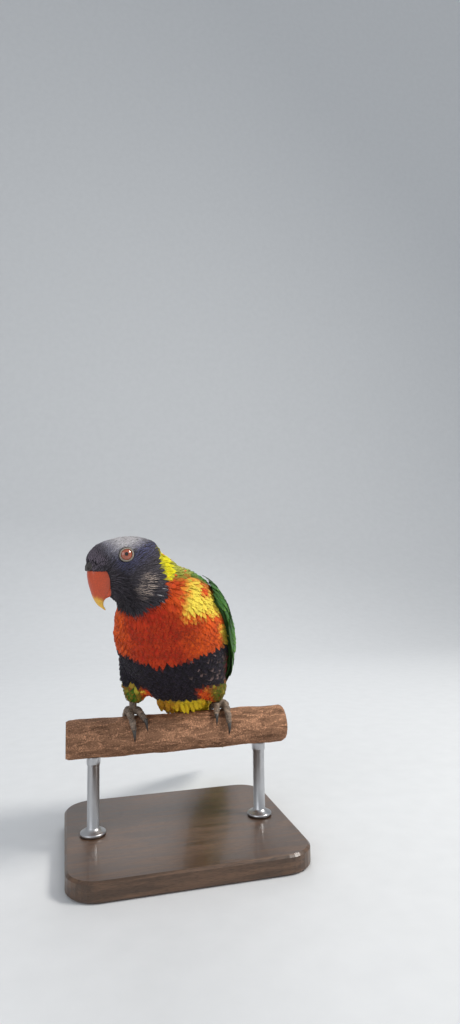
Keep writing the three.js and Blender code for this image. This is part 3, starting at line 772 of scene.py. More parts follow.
def plumage(zones, looks):
    """Tint of the feathers in each zone, and the colour of their rims, or of their shafts on the head."""
    h, under, out, outer = zones.h, zones.under, zones.out, zones.outer
    hood, collar, back, thigh = zones.hood, zones.collar, zones.back, zones.thigh
    left, up = zones.p[:, 0], zones.p[:, 2]
    wave, gold, vent = zones.wave, zones.gold, zones.vent
    patchy = np.clip(0.5 + 1.1 * ripple(zones.p, 0.6), 0, 1)
    # The crown's pale shafts are partly their own colour, partly a painted highlight of sunlight on the top
    # of the head
    crown = ramp(h[:, 2], 2.5, 11) * (1 - ramp(h[:, 1], -8, 6))
    # The lower cheek, whose streaked feathers get pale shafts as a painted highlight of sunlight
    cheek = ramp(under, 30, 48) * ramp(out, 13, 17) * (1 - ramp(under, 78, 92)) * (1 - ramp(out, 23, 27))
    chin = np.maximum(ramp(under, 66, 84) * ramp(out, 9, 16), ramp(out, 24, 28) * ramp(under, 48, 60))
    brow = ramp(h[:, 1], 2, 9) * ramp(h[:, 2], 4, 9)
    tint = layered(
        looks.breast_red,
        (np.clip(0.5 * zones.shoulder + 0.3 * wave, 0, 1), looks.breast_orange),
        (ramp(-left, 12, 26) * 0.8, looks.breast_orange),
        (ramp(left, 12, 24) * (1 - ramp(up, 66, 78)) * 0.8, looks.breast_orange),
        (np.clip(1.6 * gold, 0, 1), looks.breast_orange),
        (np.clip(gold * (1.3 * gold - 0.5 * patchy) + zones.edge, 0, 1), looks.breast_yellow),
        (zones.belly, looks.belly_dark),
        (zones.flank * (0.35 + 0.5 * patchy), looks.thigh_green),
        (vent, looks.vent_yellow),
        (vent * ramp(-left, -6, 2) * 0.8, looks.vent_ochre),
        (thigh, looks.breast_red),
        (thigh * ramp(outer, 19, 22) * ramp(patchy, 0.7, 1.0) * ramp(up, 22, 28), looks.breast_yellow),
        (thigh * ramp(outer, 21, 25) * (1 - 0.5 * ramp(patchy, 0.75, 1.0)), looks.thigh_green),
        (back, looks.back_green),
        (back * zones.nape, looks.nape_yellow),
        (collar, looks.collar),
        (collar * ramp(h[:, 2], -9, -3) * 0.6, looks.collar_olive),
        (hood, looks.hood_dark),
        # Pale over the crown: partly the shafts' own colour, partly a painted highlight
        (hood * crown * 0.5, looks.hood_pale_and_highlight),
    )
    rim = layered(
        mix(looks.breast_red, looks.breast_orange, 0.25),
        (zones.shoulder * 0.8, looks.breast_orange),
        (np.clip(0.3 - 0.5 * wave, 0, 0.5), looks.breast_red * 0.35),
        (np.clip(1.4 * gold - 0.3 * patchy + zones.edge, 0, 1), looks.breast_yellow),
        (zones.belly, looks.belly_rim),
        (zones.flank * (0.7 - 0.5 * patchy), looks.breast_red),
        (vent, looks.vent_yellow),
        (vent * ramp(-left, -6, 2) * patchy, looks.vent_ochre),
        (thigh, looks.breast_orange),
        (thigh * ramp(outer, 20, 25) * 0.8, looks.thigh_green),
        (back, looks.back_rim),
        (back * zones.nape, looks.nape_yellow),
        (collar, looks.collar_rim),
        (collar * ramp(h[:, 2], -9, -3) * 0.8, looks.collar_olive),
        (hood, looks.hood_grey),
        (hood * ramp(h[:, 2], -8, 2) * ramp(-h[:, 1], -6, 2), looks.hood_blue),
        (hood * brow * 0.85, looks.hood_violet),
        # Pale shafts over the crown: partly their own colour, partly a painted highlight
        (hood * crown * 0.9, looks.hood_pale_and_highlight),
        # Painted highlight: pale shafts on the streaked lower cheek
        (hood * cheek * (0.35 + 0.65 * patchy), looks.cheek_streak_highlight),
        (hood * chin, looks.hood_dark * 1.6),
    )
    return tint, rim


# Skin
FLESH = ("torso", "neck", "head", "thigh_left", "thigh_right")


class Ground:
    """What the feathers are rooted in: skin and horn, without the faces that are buried in another piece."""

    def __init__(self, *pieces):
        offset = 0
        arrays = [mesh_arrays(piece) for piece in pieces]
        for array in arrays:
            array[1][:] += offset
            offset += len(array[0])
        self.owner = np.repeat(np.arange(len(arrays)), [len(array[1]) for array in arrays])
        self.points, self.corners, self.normals = (np.vstack(part) for part in zip(*arrays))
        middle = self.points[self.corners].mean(1)
        shown = np.ones(len(middle), bool)
        for kind, piece in enumerate(pieces):
            other = np.flatnonzero(shown & (self.owner != kind))
            shown[other] = ~inside(piece, middle[other])
        self.corners, self.owner = self.corners[shown], self.owner[shown]
        self.tree = BVHTree.FromPolygons(self.points.tolist(), self.corners.tolist())

    def nearest(self, points):
        """The nearest skin points and their smooth normals."""
        places = np.empty((len(points), 3))
        faces = np.empty(len(points), int)
        find = self.tree.find_nearest
        for k, point in enumerate(points):
            place, _, face, _ = find(point)
            places[k] = place
            faces[k] = face
        corners = self.corners[faces]
        a, b, c = (self.points[corners[:, k]] for k in range(3))
        normal = np.cross(b - a, c - a)
        area = np.maximum((normal**2).sum(1), 1e-24)
        wa = (np.cross(b - places, c - places) * normal).sum(1) / area
        wb = (np.cross(c - places, a - places) * normal).sum(1) / area
        weights = np.clip(np.stack((wa, wb, 1 - wa - wb), 1), 0, 1)
        return places, unit((self.normals[corners] * weights[..., None]).sum(1))


def coat_depth(points):
    """How far the skin lies under the solids' surface, in metres: thin on the face, deeper on the body."""
    h = in_head(points)
    out = np.linalg.norm(h, axis=1)
    return mix(0.0007, 0.0019, ramp(out, 20, 36))


# Ways that the coat lies: left, forward, up. On the head it parts from a point on the bill
PARTING = (0, 19.0, 1.0)
BODY_FLOW = (0.25, -0.74, -0.67)
FRONT_FLOW = (0.1, -0.25, -1.0)
LEG_FLOW = (0.0, 0.05, -1.0)


def lie(points, normals):
    """The way the coat lies: away from the bill on the head, tailwards on the body, down on the thighs."""
    p = in_bird(points)
    h = in_head(points)
    head_way = unit(h - np.array(PARTING)) @ HEAD_AXES.T
    _, angle = spine_places(p)
    spread = np.sin(np.radians(angle))
    body_way, front_way = (
        np.stack((across * spread, np.full(len(p), forward), np.full(len(p), up)), 1)
        for across, forward, up in (BODY_FLOW, FRONT_FLOW)
    )
    front = (1 - ramp(np.abs(angle), 60, 100)) * ramp(p[:, 1], 20, 45)
    body_way = unit(mix(body_way, front_way, 0.6 * front[:, None])) @ BODY_AXES.T
    off_head = ramp(np.linalg.norm(h, axis=1), 26, 44)
    way = mix(head_way, body_way, off_head[:, None])
    legs = (1 - ramp(p[:, 2], 20, 34)) * ramp(np.abs(p[:, 0] - 1), 10, 20) * ramp(p[:, 1], -24, -10)
    way = mix(way, np.array(LEG_FLOW), legs[:, None])
    return unit(way - (way * normals).sum(1)[:, None] * normals)


def spread_roots(points, spacing, chance):
    """Indices of points kept at least their own spacing apart, taken in a seeded random order."""
    cell = spacing.max()
    keys = np.floor(points / cell).astype(int).tolist()
    listed = points.tolist()
    gaps = (spacing**2).tolist()
    around = [(x, y, z) for x in (-1, 0, 1) for y in (-1, 0, 1) for z in (-1, 0, 1)]
    grid = {}
    kept = []
    for i in chance.permutation(len(points)).tolist():
        x, y, z = listed[i]
        kx, ky, kz = keys[i]
        near = (spot for dx, dy, dz in around for spot in grid.get((kx + dx, ky + dy, kz + dz), ()))
        if all((ox - x) ** 2 + (oy - y) ** 2 + (oz - z) ** 2 >= gaps[i] for ox, oy, oz in near):
            grid.setdefault((kx, ky, kz), []).append(listed[i])
            kept.append(i)
    return np.array(kept)


# Feathers
class VaneShape:
    """One feather's grid: rows along it, columns across its upper face, and a flat underside to close it."""

    def __init__(self, u, columns):
        self.u = np.asarray(u, float)
        self.v = np.linspace(-1, 1, columns)
        self.spread = self.u[None, :, None], self.v[None, None, :]
        self.rows = rows = len(self.u)
        self.columns = columns
        faces = []
        for r in range(rows - 1):
            for c in range(columns - 1):
                a = r * columns + c
                faces.append((a, a + 1, a + 1 + columns, a + columns))
        self.upper = len(faces)
        for r in range(rows - 1):
            low = r * columns
            high = low + columns - 1
            faces.append((high, low, low + columns, high + columns))
        faces.append(tuple(range(columns - 1, -1, -1)))
        last = (rows - 1) * columns
        faces.append(tuple(range(last, last + columns)))
        self.loops = np.array([i for f in faces for i in f])
        self.totals = np.array([len(f) for f in faces])
        self.points = rows * columns

    def mesh(self, name, grids):
        """One mesh of many feathers, from their grids (feathers, rows, columns, 3)."""
        count = len(grids)
        offsets = np.arange(count)[:, None] * self.points
        loops = (self.loops[None] + offsets).ravel()
        totals = np.tile(self.totals, count)
        starts = np.concatenate(([0], np.cumsum(totals)[:-1]))
        mesh = fast_mesh(name, grids.reshape(-1, 3), loops, starts)
        smooth = np.tile(np.arange(len(self.totals)) < self.upper, count)
        mesh.polygons.foreach_set("use_smooth", smooth)
        return mesh


# Side of a feather's own patch in the bake map
PATCH = 0.003
# Frayed tips of small feathers, as a share of their length. Sinking and raising of their roots, in metres
FRINGE = 0.05
ROOT_SINK = 0.0005
ROOT_RISE = 0.00006
FINE_VANE = VaneShape((0, 0.3, 0.6, 0.85, 1), 3)
SOFT_VANE = VaneShape((0, 0.28, 0.55, 0.76, 0.91, 1), 9)


def finish_feathers(name, shape, grids, tint, rim, chance, patches, material):
    """A joined piece of feathers, with colours, vane places and a small patch of the bake map for each."""
    count = len(grids)
    mesh = shape.mesh(name, grids)
    each = shape.points
    put_values(mesh, "tint", "FLOAT_COLOR", with_alpha(np.repeat(tint, each, 0)))
    put_values(mesh, "rim", "FLOAT_COLOR", with_alpha(np.repeat(rim, each, 0)))
    u, v = np.meshgrid(shape.u, shape.v, indexing="ij")
    vane = np.empty((count, shape.rows, shape.columns, 3))
    vane[..., 0] = u
    vane[..., 1] = v
    vane[..., 2] = chance[:, None, None]
    put_values(mesh, "vane", "FLOAT_VECTOR", vane)
    local = np.stack((v / 2, u - 0.5), -1) * PATCH
    flat = (patches[:, None, None, :] + local[None]).reshape(-1, 2)
    corner = np.zeros(len(mesh.loops), np.int32)
    mesh.loops.foreach_get("vertex_index", corner)
    uv = mesh.uv_layers.new(name="OFBake")
    uv.data.foreach_set("uv", np.ascontiguousarray(flat[corner], np.float32).ravel())
    mesh.materials.append(material)
    piece = bpy.data.objects.new(name, mesh)
    bpy.context.scene.collection.objects.link(piece)
    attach(piece, "root")
    return piece


def coat_grids(ground, shape, roots, normals, sizes, chance):
    """Grids of small feathers: each one's spine is walked over the skin, root sunk and tip lifted.

    It also returns the place on the skin under the part of each feather that shows.
    """
    length, width, lift = sizes
    count = len(roots)
    spine = np.empty((count, shape.rows, 3))
    ups = np.empty_like(spine)
    ways = np.empty_like(spine)
    place, normal = roots, normals
    twist = chance.normal(0, 0.1, count)[:, None]
    for k in range(shape.rows):
        way = lie(place, normal)
        way = unit(way + twist * np.cross(normal, way))
        spine[:, k], ups[:, k], ways[:, k] = place, normal, way
        if k + 1 < shape.rows:
            place, normal = ground.nearest(place + way * (length * (shape.u[k + 1] - shape.u[k]))[:, None])
    sides = np.cross(ways, ups)
    u, v = shape.spread
    tip = np.sqrt(np.clip(1 - (np.clip(u - 0.5, 0, 1) / 0.52) ** 2, 0.02, 1))
    half = (width[:, None, None] / 2) * np.minimum(1, 0.45 + 1.6 * u) * tip
    half = half * (1 + chance.uniform(-0.06, 0.06, (count, shape.rows, 1)))
    tilt = chance.normal(0, 0.05, count)[:, None, None]
    sunk = -np.minimum(ROOT_SINK, 0.3 * lift)[:, None, None]
    rise = mix(sunk, lift[:, None, None], u**0.8) + ROOT_RISE
    camber = -0.2 * half * v**2 + tilt * half * v
    teeth = np.where(np.arange(shape.columns) % 2, 1.0, -1.0)[None, None, :]
    ragged = FRINGE * (0.6 * teeth + chance.uniform(-1, 1, (count, 1, shape.columns)))
    push = length[:, None, None] * (ragged * u**4 - 0.1 * v**2 * u**3)
    grids = (
        spine[:, :, None, :]
        + sides[:, :, None, :] * (half * v)[..., None]
        + ups[:, :, None, :] * (rise + camber)[..., None]
        + ways[:, :, None, :] * push[..., None]
    )
    return grids, spine[:, -3]


# Places further along the spine than this share the upper edge of the bake map
UNWRAP_REACH = 150


def unwrap(points):
    """A place in the bake map from the spine: the angle round it and the distance along it."""
    p = in_bird(points)
    along, angle = spine_places(p)
    beyond = np.linalg.norm(p - np.array(SPINE[-1]), axis=1) * ramp(along, along.max() - 1, along.max())
    reach = along + beyond
    u = 0.02 + 0.96 * (angle + 180) / 360
    v = 0.02 + 0.96 * np.clip(reach / UNWRAP_REACH, 0, 1)
    return np.stack((u, v), 1)


def unwrap_head(points):
    """A place in the bake map from the head's frame: the angle round the bill's axis and the angle off it."""
    h = in_head(points)
    angle = np.degrees(np.arctan2(h[:, 0], h[:, 2]))
    polar = np.degrees(np.arccos(np.clip(unit(h)[:, 1], -1, 1)))
    return np.stack((0.02 + 0.96 * (angle + 180) / 360, 0.02 + 0.96 * polar / 180), 1)


def eye_pose(side, out=0.0):
    """The pose of an eye: its own X runs outwards."""
    turn = Euler((0, -side * EYE_LIFT, -side * EYE_FRONT), "XYZ").to_matrix().to_4x4()
    axes = Matrix(HEAD_AXES @ FACING).to_4x4()
    axes.translation = Vector(HEAD_POINT)
    left, forward, up = EYE_PLACE
    place = Matrix.Translation((side * left * MM, -forward * MM, up * MM))
    return axes @ place @ turn @ Matrix.Translation((side * out * MM, 0, 0))


def round_pose(pose, along, out, turn):
    """Row-frame points at millimetres along a pose's own X and out from it, turned about it."""
    local = np.stack((along, out * np.cos(turn), out * np.sin(turn)), -1) * MM
    return local @ pose[:3, :3].T + pose[:3, 3]


def eye_centre(side):
    return np.array(eye_pose(side, EYE_RADIUS * EYE_FLAT).translation)


# Small feathers in millimetres: length, width, lift of the tip, and spacing of the roots
FEATHERS = {
    "bill": (2.2, 0.7, 0.3, 0.5),
    "face": (4.6, 1.05, 0.55, 0.66),
    "hood": (8.0, 1.5, 1.0, 0.92),
    "chin": (6.0, 1.2, 2.8, 0.75),
    "body": (9.5, 4.4, 1.8, 1.85),
    "breast": (9.0, 3.3, 1.7, 1.45),
    "collar": (7.5, 2.3, 1.5, 1.4),
    "thigh": (7.0, 2.6, 1.6, 1.4),
    "vent": (11.5, 2.9, 6.5, 1.7),
}


def grown(kind, *steps):
    """Sizes of one kind of feather, mixed in turn with those of other kinds by shares for each point."""
    sizes = np.array(FEATHERS[kind])
    for other, share in steps:
        sizes = mix(sizes, np.array(FEATHERS[other]), share[:, None])
    return sizes


def feather_sizes(points, zones, cover=0):
    """Length, width, lift and spacing of the small feathers at row-frame points, in metres."""
    h, out, under = zones.h, zones.out, zones.under
    right, up = -zones.p[:, 0], zones.p[:, 2]
    eye = np.minimum(*(np.linalg.norm(points - eye_centre(side), axis=1) for side in (-1, 1))) / MM
    open_face = ramp(eye, 4.6, 9) * (1 - 0.7 * ramp(h[:, 1], 5, 12))
    rear = ramp(out, 14, 27)
    chin = ramp(under, 84, 96) * (1 - ramp(under, 130, 140)) * (1 - ramp(out, 22, 26))
    on_head = grown("bill", ("face", open_face), ("hood", rear * open_face), ("chin", chin))
    body = grown(
        "body",
        ("breast", ramp(up, 52, 60) * (1 - zones.back)),
        ("collar", zones.collar * (1 - zones.hood)),
        ("thigh", zones.thigh),
        ("vent", zones.vent * (1 - zones.thigh)),
    )
    fuller = ramp(right, 18, 28) * ramp(up, 34, 46) * (1 - ramp(up, 74, 84))
    body[:, 2] += 1.6 * fuller
    sizes = mix(body, on_head, zones.hood[:, None])
    sizes[:, 2] += 2.0 * cover * (1 - zones.hood)
    return sizes.T * MM


def spacing_at(points):
    return feather_sizes(points, zones_at(points))[3]


def under_wing(points, shell):
    """Shares of cover by a folded wing at body points, well under it and near its edges."""
    p = in_bird(points)
    _, angle = spine_places(p)
    from_back = 180 - np.abs(angle)
    centre = in_bird(shell.centres[0])
    axis = unit(np.array((0, -0.73, -0.68)))
    reach = (p - centre) @ axis
    upper = mix(50, 20, ramp(reach, 16, 100))
    lower = np.where(angle > 0, 84, 68) + 0 * reach
    covered = ramp(from_back, upper + 2, upper + 12) * (1 - ramp(from_back, lower - 12, lower - 2))
    beside = ramp(from_back, upper - 8, upper) * (1 - ramp(from_back, lower + 4, lower + 16))
    return covered * ramp(reach, 20, 30), beside * ramp(reach, 10, 18)


def over_bill(h):
    """How far a place in the head's frame lies behind the feathers' edge on the bill, in millimetres."""
    above = h[..., 2] - BILL_LINE[1] - BILL_LINE[2] * (h[..., 1] - BILL_LINE[0])
    behind = BILL_REAR[0] + BILL_REAR[2] * (h[..., 2] - BILL_REAR[1]) - h[..., 1]
    return np.maximum(above, behind)


# Wings
# Feather rows of a wing, each from its innermost feather to the outermost: name, count, reach of the roots
# and of the tips in mm from the bend of the wing, their angles from the back, width, lifts of root and tip
WING_ROWS = (
    ("primaries", 9, (60, 64), (112, 150), (38, 86), (13, 38), 8.5, (1.4, 1.2), "flight"),
    ("secondaries", 9, (40, 46), (90, 112), (24, 88), (14, 80), 10.5, (1.6, 2.0), "flight"),
    ("greater_coverts", 10, (30, 32), (66, 80), (26, 90), (20, 89), 9.5, (2.0, 2.6), "covert"),
    ("median_coverts", 10, (22, 24), (49, 58), (31, 90), (25, 90), 9.0, (2.4, 3.1), "covert"),
)
# Small coverts over the shoulder: rows along the reach, each row from the upper to the lower edge
COVERT_ROWS = 9
COVERT_REACH = (7, 40)
COVERT_UPPER = (50, 27)
COVERT_LOWER = (82, 92)
COVERT_LENGTH = 12.5
COVERT_WIDTH = 7.0
# How many degrees further each wing's lower edge is tucked up
TUCK = {"left": -4, "right": 14}
# Reach and angle that fill the bake map
WING_MAP = (160, 110)


def pointed(u, sharp):
    return np.minimum(1, 0.5 + 2.4 * u) * np.maximum(0.06, 1 - u**sharp)


def rounded(u):
    return np.minimum(1, 0.55 + 1.8 * u) * np.sqrt(np.maximum(0.03, 1 - u**5))


def wing_grids(shell, side, shape, reach, place, wide, lift, outline, tilt=0.55, thick=0.35):
    """Grids of wing feathers on the shell, each given by its reach, place and lift at root and tip."""
    u, v = shape.spread
    ends = [np.asarray(pair, float)[:, :, None, None] for pair in (reach, place, lift)]
    where = [mix(pair[:, 0], pair[:, 1], u) for pair in ends]
    radius = smooth_curve(shell.girths, shell.share(where[0]))[..., 0] / MM
    half = (np.asarray(wide, float)[:, None, None] / 2) * outline(u)
    degrees = where[1] + v * np.degrees(half / radius)
    ridge = thick * (1 - v**2) * (1 - 0.5 * u)
    height = where[2] + tilt * v + ridge
    return shell.point(where[0] + 0 * v, side * degrees, height)


def tone(name, text, value):
    """A colour that a user may change."""
    kind = {"subtype": "COLOR", "size": 3}
    return FloatVectorProperty(name=name, description=text, default=value, min=0, max=1, **kind)


def amount(name, text, value, low, high, unit="NONE"):
    """A number that a user may change."""
    return FloatProperty(name=name, description=text, default=value, min=low, max=high, unit=unit)


class PlumageLooks(bpy.types.PropertyGroup):
    """Colours of the plumage."""

    hood_dark: tone("Hood", "Base of the head feathers", (0.036, 0.031, 0.038))
    hood_grey: tone("Hood streaks", "Slate shafts of the lower face", (0.1, 0.088, 0.105))
    hood_blue: tone("Hood blue", "Blue shafts of the feathers round the eye", (0.12, 0.125, 0.26))
    hood_violet: tone("Forehead streaks", "Violet-brown shafts of the forehead", (0.27, 0.215, 0.27))
    # Partly the crown's own pale shafts, partly a painted sunlit highlight on them
    hood_pale_and_highlight: tone("Crown streaks", "Pale sheen on the shafts of the crown", (0.86, 0.82, 0.83))
    # Painted highlight: the pale of sunlight on the streaked lower cheek
    cheek_streak_highlight: tone("Cheek streaks", "Buff shafts of the lower cheek", (0.72, 0.57, 0.47))
    collar: tone("Collar", "Nape band", (0.8, 0.7, 0.005))
    collar_olive: tone("Collar top", "Olive upper part of the nape band", (0.36, 0.33, 0.012))
    collar_rim: tone("Collar rim", "Feather tips of the nape band", (0.95, 0.86, 0.01))
    nape_yellow: tone("Nape yellow", "Yellow-green tips behind the nape band", (0.42, 0.42, 0.06))
    breast_red: tone("Breast red", "Middle of the breast", (0.5, 0.024, 0.004))
    breast_orange: tone("Breast orange", "Feather tips of the breast", (0.9, 0.125, 0.007))
    breast_yellow: tone("Breast yellow", "Sides of the breast", (0.98, 0.76, 0.08))
    belly_dark: tone("Belly", "Dark belly patch", (0.008, 0.005, 0.008))
    belly_rim: tone("Belly rim", "Feather tips of the belly", (0.015, 0.01, 0.02))
    thigh_green: tone("Thigh green", "Flanks and thighs", (0.045, 0.15, 0.008))
    flank_pale: tone("Flank flecks", "Pale tips on the dark left side", (0.26, 0.17, 0.16))
    vent_yellow: tone("Vent", "Under the tail's root", (0.85, 0.6, 0.02))
    vent_ochre: tone("Vent ochre", "Brownish-orange right side of the vent", (0.55, 0.2, 0.015))
    back_green: tone("Back green", "Mantle and rump", (0.03, 0.14, 0.01))
    back_rim: tone("Back rim", "Feather tips of the mantle", (0.055, 0.21, 0.014))
    wing_green: tone("Wing green", "Wing coverts", (0.03, 0.13, 0.01))
    wing_rim: tone("Wing rim", "Edges of the wing feathers", (0.13, 0.34, 0.015))
    flight_dark: tone("Flight dark", "Inner webs of the flight feathers", (0.012, 0.035, 0.012))
    under_tail: tone("Under tail", "Underside of the tail", (0.26, 0.27, 0.03))


class BareLooks(bpy.types.PropertyGroup):
    """Colours of the bill, eyes and feet."""

    bill: tone("Bill", "Red-orange of the bill", (0.58, 0.07, 0.014))
    bill_tip: tone("Bill tip", "Yellow tip of the bill", (0.88, 0.5, 0.05))
    iris: tone("Iris", "Red-brown iris", (0.5, 0.115, 0.055))
    eye_ring: tone("Eye ring", "Bare pale ring round the eye", (0.42, 0.36, 0.29))
    foot: tone("Feet", "Grey scaly feet", (0.26, 0.19, 0.14))
    pupil: amount("Pupil", "Radius of the pupil in millimetres", 1.1, 0.5, 2.5)


class PerchLooks(bpy.types.PropertyGroup):
    """Finish of the perch and stand."""

    bark: tone("Bark", "Middle tone of the bark", (0.37, 0.19, 0.108))
    relief: amount("Relief", "Depth of the bark's plates", 0.0007, 0, 0.002, "LENGTH")
    wood: tone("Stand wood", "Wood of the stand's base", (0.075, 0.04, 0.022))


class StageLooks(bpy.types.PropertyGroup):
    """Camera and studio light."""

    focal: amount("Focal length", "Lens for a 24 mm tall frame, in millimetres", 14.53, 5, 200)
    key: amount("Key light", "Strength of the main soft light", 11.0, 0, 1000, "POWER")
    fill: amount("Fill light", "Strength of the fill light", 3.0, 0, 1000, "POWER")


# Operators
# Skin: cell of the closing mesh in metres, and rounds of smoothing
SKIN_CELL = 0.0011
SKIN_ROUNDS = 14


class LORIKEET_OT_skin(bpy.types.Operator):
    """Builds the one skin that lies under the coat"""

    bl_idname = "lorikeet.skin"
    bl_label = "Skin"

    def execute(self, context):
        points, faces, offset = [], [], 0
        for name in FLESH:
            p, f, _ = mesh_arrays(frame["nodes"][name])
            points.append(p)
            faces.append(f + offset)
            offset += len(p)
        rough = new_piece("skin_rough", np.vstack(points), np.vstack(faces).tolist())
        remesh = rough.modifiers.new("close", "REMESH")
        remesh.mode = "VOXEL"
        remesh.voxel_size = SKIN_CELL
        soften = rough.modifiers.new("soften", "SMOOTH")
        soften.factor = 0.5
        soften.iterations = SKIN_ROUNDS
        shown = rough.evaluated_get(context.evaluated_depsgraph_get())
        mesh = bpy.data.meshes.new_from_object(shown)
        bpy.data.objects.remove(rough)
        skin = bpy.data.objects.new("skin", mesh)
        context.scene.collection.objects.link(skin)
        co, _, normals = mesh_arrays(skin)
        co = co - normals * coat_depth(co)[:, None]
        mesh.vertices.foreach_set("co", co.astype(np.float32).ravel())
        mesh.update()
        mesh.shade_smooth()
        tint, _ = plumage(zones_at(co), palette(context.scene.lorikeet_plumage))
        put_values(mesh, "tint", "FLOAT_COLOR", with_alpha(tint))
        mesh.materials.clear()
        mesh.materials.append(material_named("skin", skin_material))
        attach(skin, "root")
        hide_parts(*FLESH)
        return {"FINISHED"}


# Pieces that small feathers are rooted in, in the order of their owner numbers
GROUND_PIECES = ("skin", "cere_skin", "bill_upper_horn", "bill_lower_horn")
# Places tried for roots, the spacing in metres under which they are sorted apart, and the face's reach in mm
TRIED_PLACES = 260000
DENSE_SPACING = 0.0012
FACE_REACH = 19
# Clear of feathers: the front of the horn and of the cere in the head's frame, and the rings of the eyes
HORN_FRONT = 15.5
CERE_FRONT = 13.8
EYE_CLEAR = 4.0


class LORIKEET_OT_coat(bpy.types.Operator):
    """Lays the small feathers over head, neck, body and thighs"""

    bl_idname = "lorikeet.coat"
    bl_label = "Coat"

    def execute(self, context):
        looks = palette(context.scene.lorikeet_plumage)
        chance = np.random.default_rng(SEED)
        shell = Form(WING_SHELL)
        ground = Ground(*(bpy.data.objects[name] for name in GROUND_PIECES))
        roots, normals = ground.nearest(self.root_places(ground, shell, chance))
        zones = zones_at(roots)
        hood = zones.hood > 0.5
        belly = (zones.belly > 0.5) | (zones.thigh > 0.5) | (zones.vent > 0.5)
        back = zones.back > 0.5
        face = zones.out < FACE_REACH
        groups = {
            "coat_face": (hood & face, "head_feather"),
            "coat_hood": (hood & ~face, "nape_feather"),
            "coat_back": (~hood & back, "body_feather"),
            "coat_belly": (~hood & ~back & belly, "body_feather"),
            "coat_breast": (~hood & ~back & ~belly, "body_feather"),
        }
        for name, (chosen, slot) in groups.items():
            self.lay(name, slot, ground, roots[chosen], normals[chosen], shell, looks, chance)
        return {"FINISHED"}

    def root_places(self, ground, shell, chance):
        """Places for the roots, spread over the ground at each feather's own spacing."""
        a, b, c = (ground.points[ground.corners[:, k]] for k in range(3))
        areas = np.linalg.norm(np.cross(b - a, c - a), axis=1) / 2
        weight = areas / spacing_at((a + b + c) / 3) ** 2
        pick = chance.choice(len(areas), TRIED_PLACES, p=weight / weight.sum())
        r1, r2 = np.sqrt(chance.uniform(size=len(pick))), chance.uniform(size=len(pick))
        shares = (1 - r1, r1 * (1 - r2), r1 * r2)
        spots = sum(corner[pick] * share[:, None] for corner, share in zip((a, b, c), shares))
        open_body = under_wing(spots, shell)[0] < 0.6
        spots = spots[open_body]
        spots = spots[self.clear_of_bare_parts(spots, ground.owner[pick][open_body])]
        spacing = spacing_at(spots)
        dense = spacing < DENSE_SPACING
        kept = [spots[part][spread_roots(spots[part], spacing[part], chance)] for part in (dense, ~dense)]
        return np.concatenate(kept)

    def clear_of_bare_parts(self, spots, owner):
        """Which spots lie outside the bare horn, the front of the cere and the rings of the eyes."""
        h = in_head(spots)
        rooted = (over_bill(h) > -0.8) & (h[:, 1] < HORN_FRONT)
        clear = (owner == 0) | ((owner == 1) & (h[:, 1] < CERE_FRONT)) | ((owner > 1) & rooted)
        for side in SIDES.values():
            clear &= np.linalg.norm(spots - eye_centre(side), axis=1) > EYE_CLEAR * MM
        for kind, name in enumerate(GROUND_PIECES):
            other = np.flatnonzero(clear & (owner != kind))
            clear[other] = ~inside(bpy.data.objects[name], spots[other])
        return clear

    def lay(self, name, slot, ground, roots, normals, shell, looks, chance):
        """One coat piece from its roots."""
        count = len(roots)
        fine = slot != "body_feather"
        cover = under_wing(roots, shell)[1]
        length, width, lift, _ = feather_sizes(roots, zones_at(roots), cover)
        loose = mix(0.15, 0.35, ramp(lift, 0.004, 0.006))
        length = length * (1 + loose * chance.uniform(-1, 1, count))
        lift = lift * (1 + loose * chance.uniform(-1.2, 1, count))
        shape = FINE_VANE if fine else SOFT_VANE
        grids, seen = coat_grids(ground, shape, roots, normals, (length, width, lift), chance)
        zones = zones_at(seen, chance.normal(0, 0.35, (count, 3)))
        tint, rim = plumage(zones, looks)

        def some(share):
            """A random pick of this share of the feathers."""
            return chance.uniform(size=count) < share

        fleck = (zones.back > 0.5) & (zones.hood < 0.1) & (zones.along > 104) & some(0.06)
        rim[fleck] = looks.breast_orange
        pale = (zones.side > 0.5) & some(0.18)
        rim[pale] = looks.flank_pale * chance.uniform(0.25, 0.9, (pale.sum(), 1))
        dull = (zones.hood > 0.5) & (zones.h[:, 2] < 7) & some(0.3)
        rim[dull] = mix(rim[dull], tint[dull], 0.75)
        low = (zones.hood > 0.5) & (zones.out > 26.5) & (np.abs(zones.under - 62) < 12)
        rim[low & some(0.08)] = looks.hood_pale_and_highlight * 0.6
        patches = unwrap_head(roots) if fine else unwrap(roots)
        kind = "feather_streaked" if fine else "feather_soft"
        material = material_named(kind, feather_material, 0.6, 16.0, fine)
        piece = finish_feathers(name, shape, grids, tint, rim, chance.uniform(size=count), patches, material)


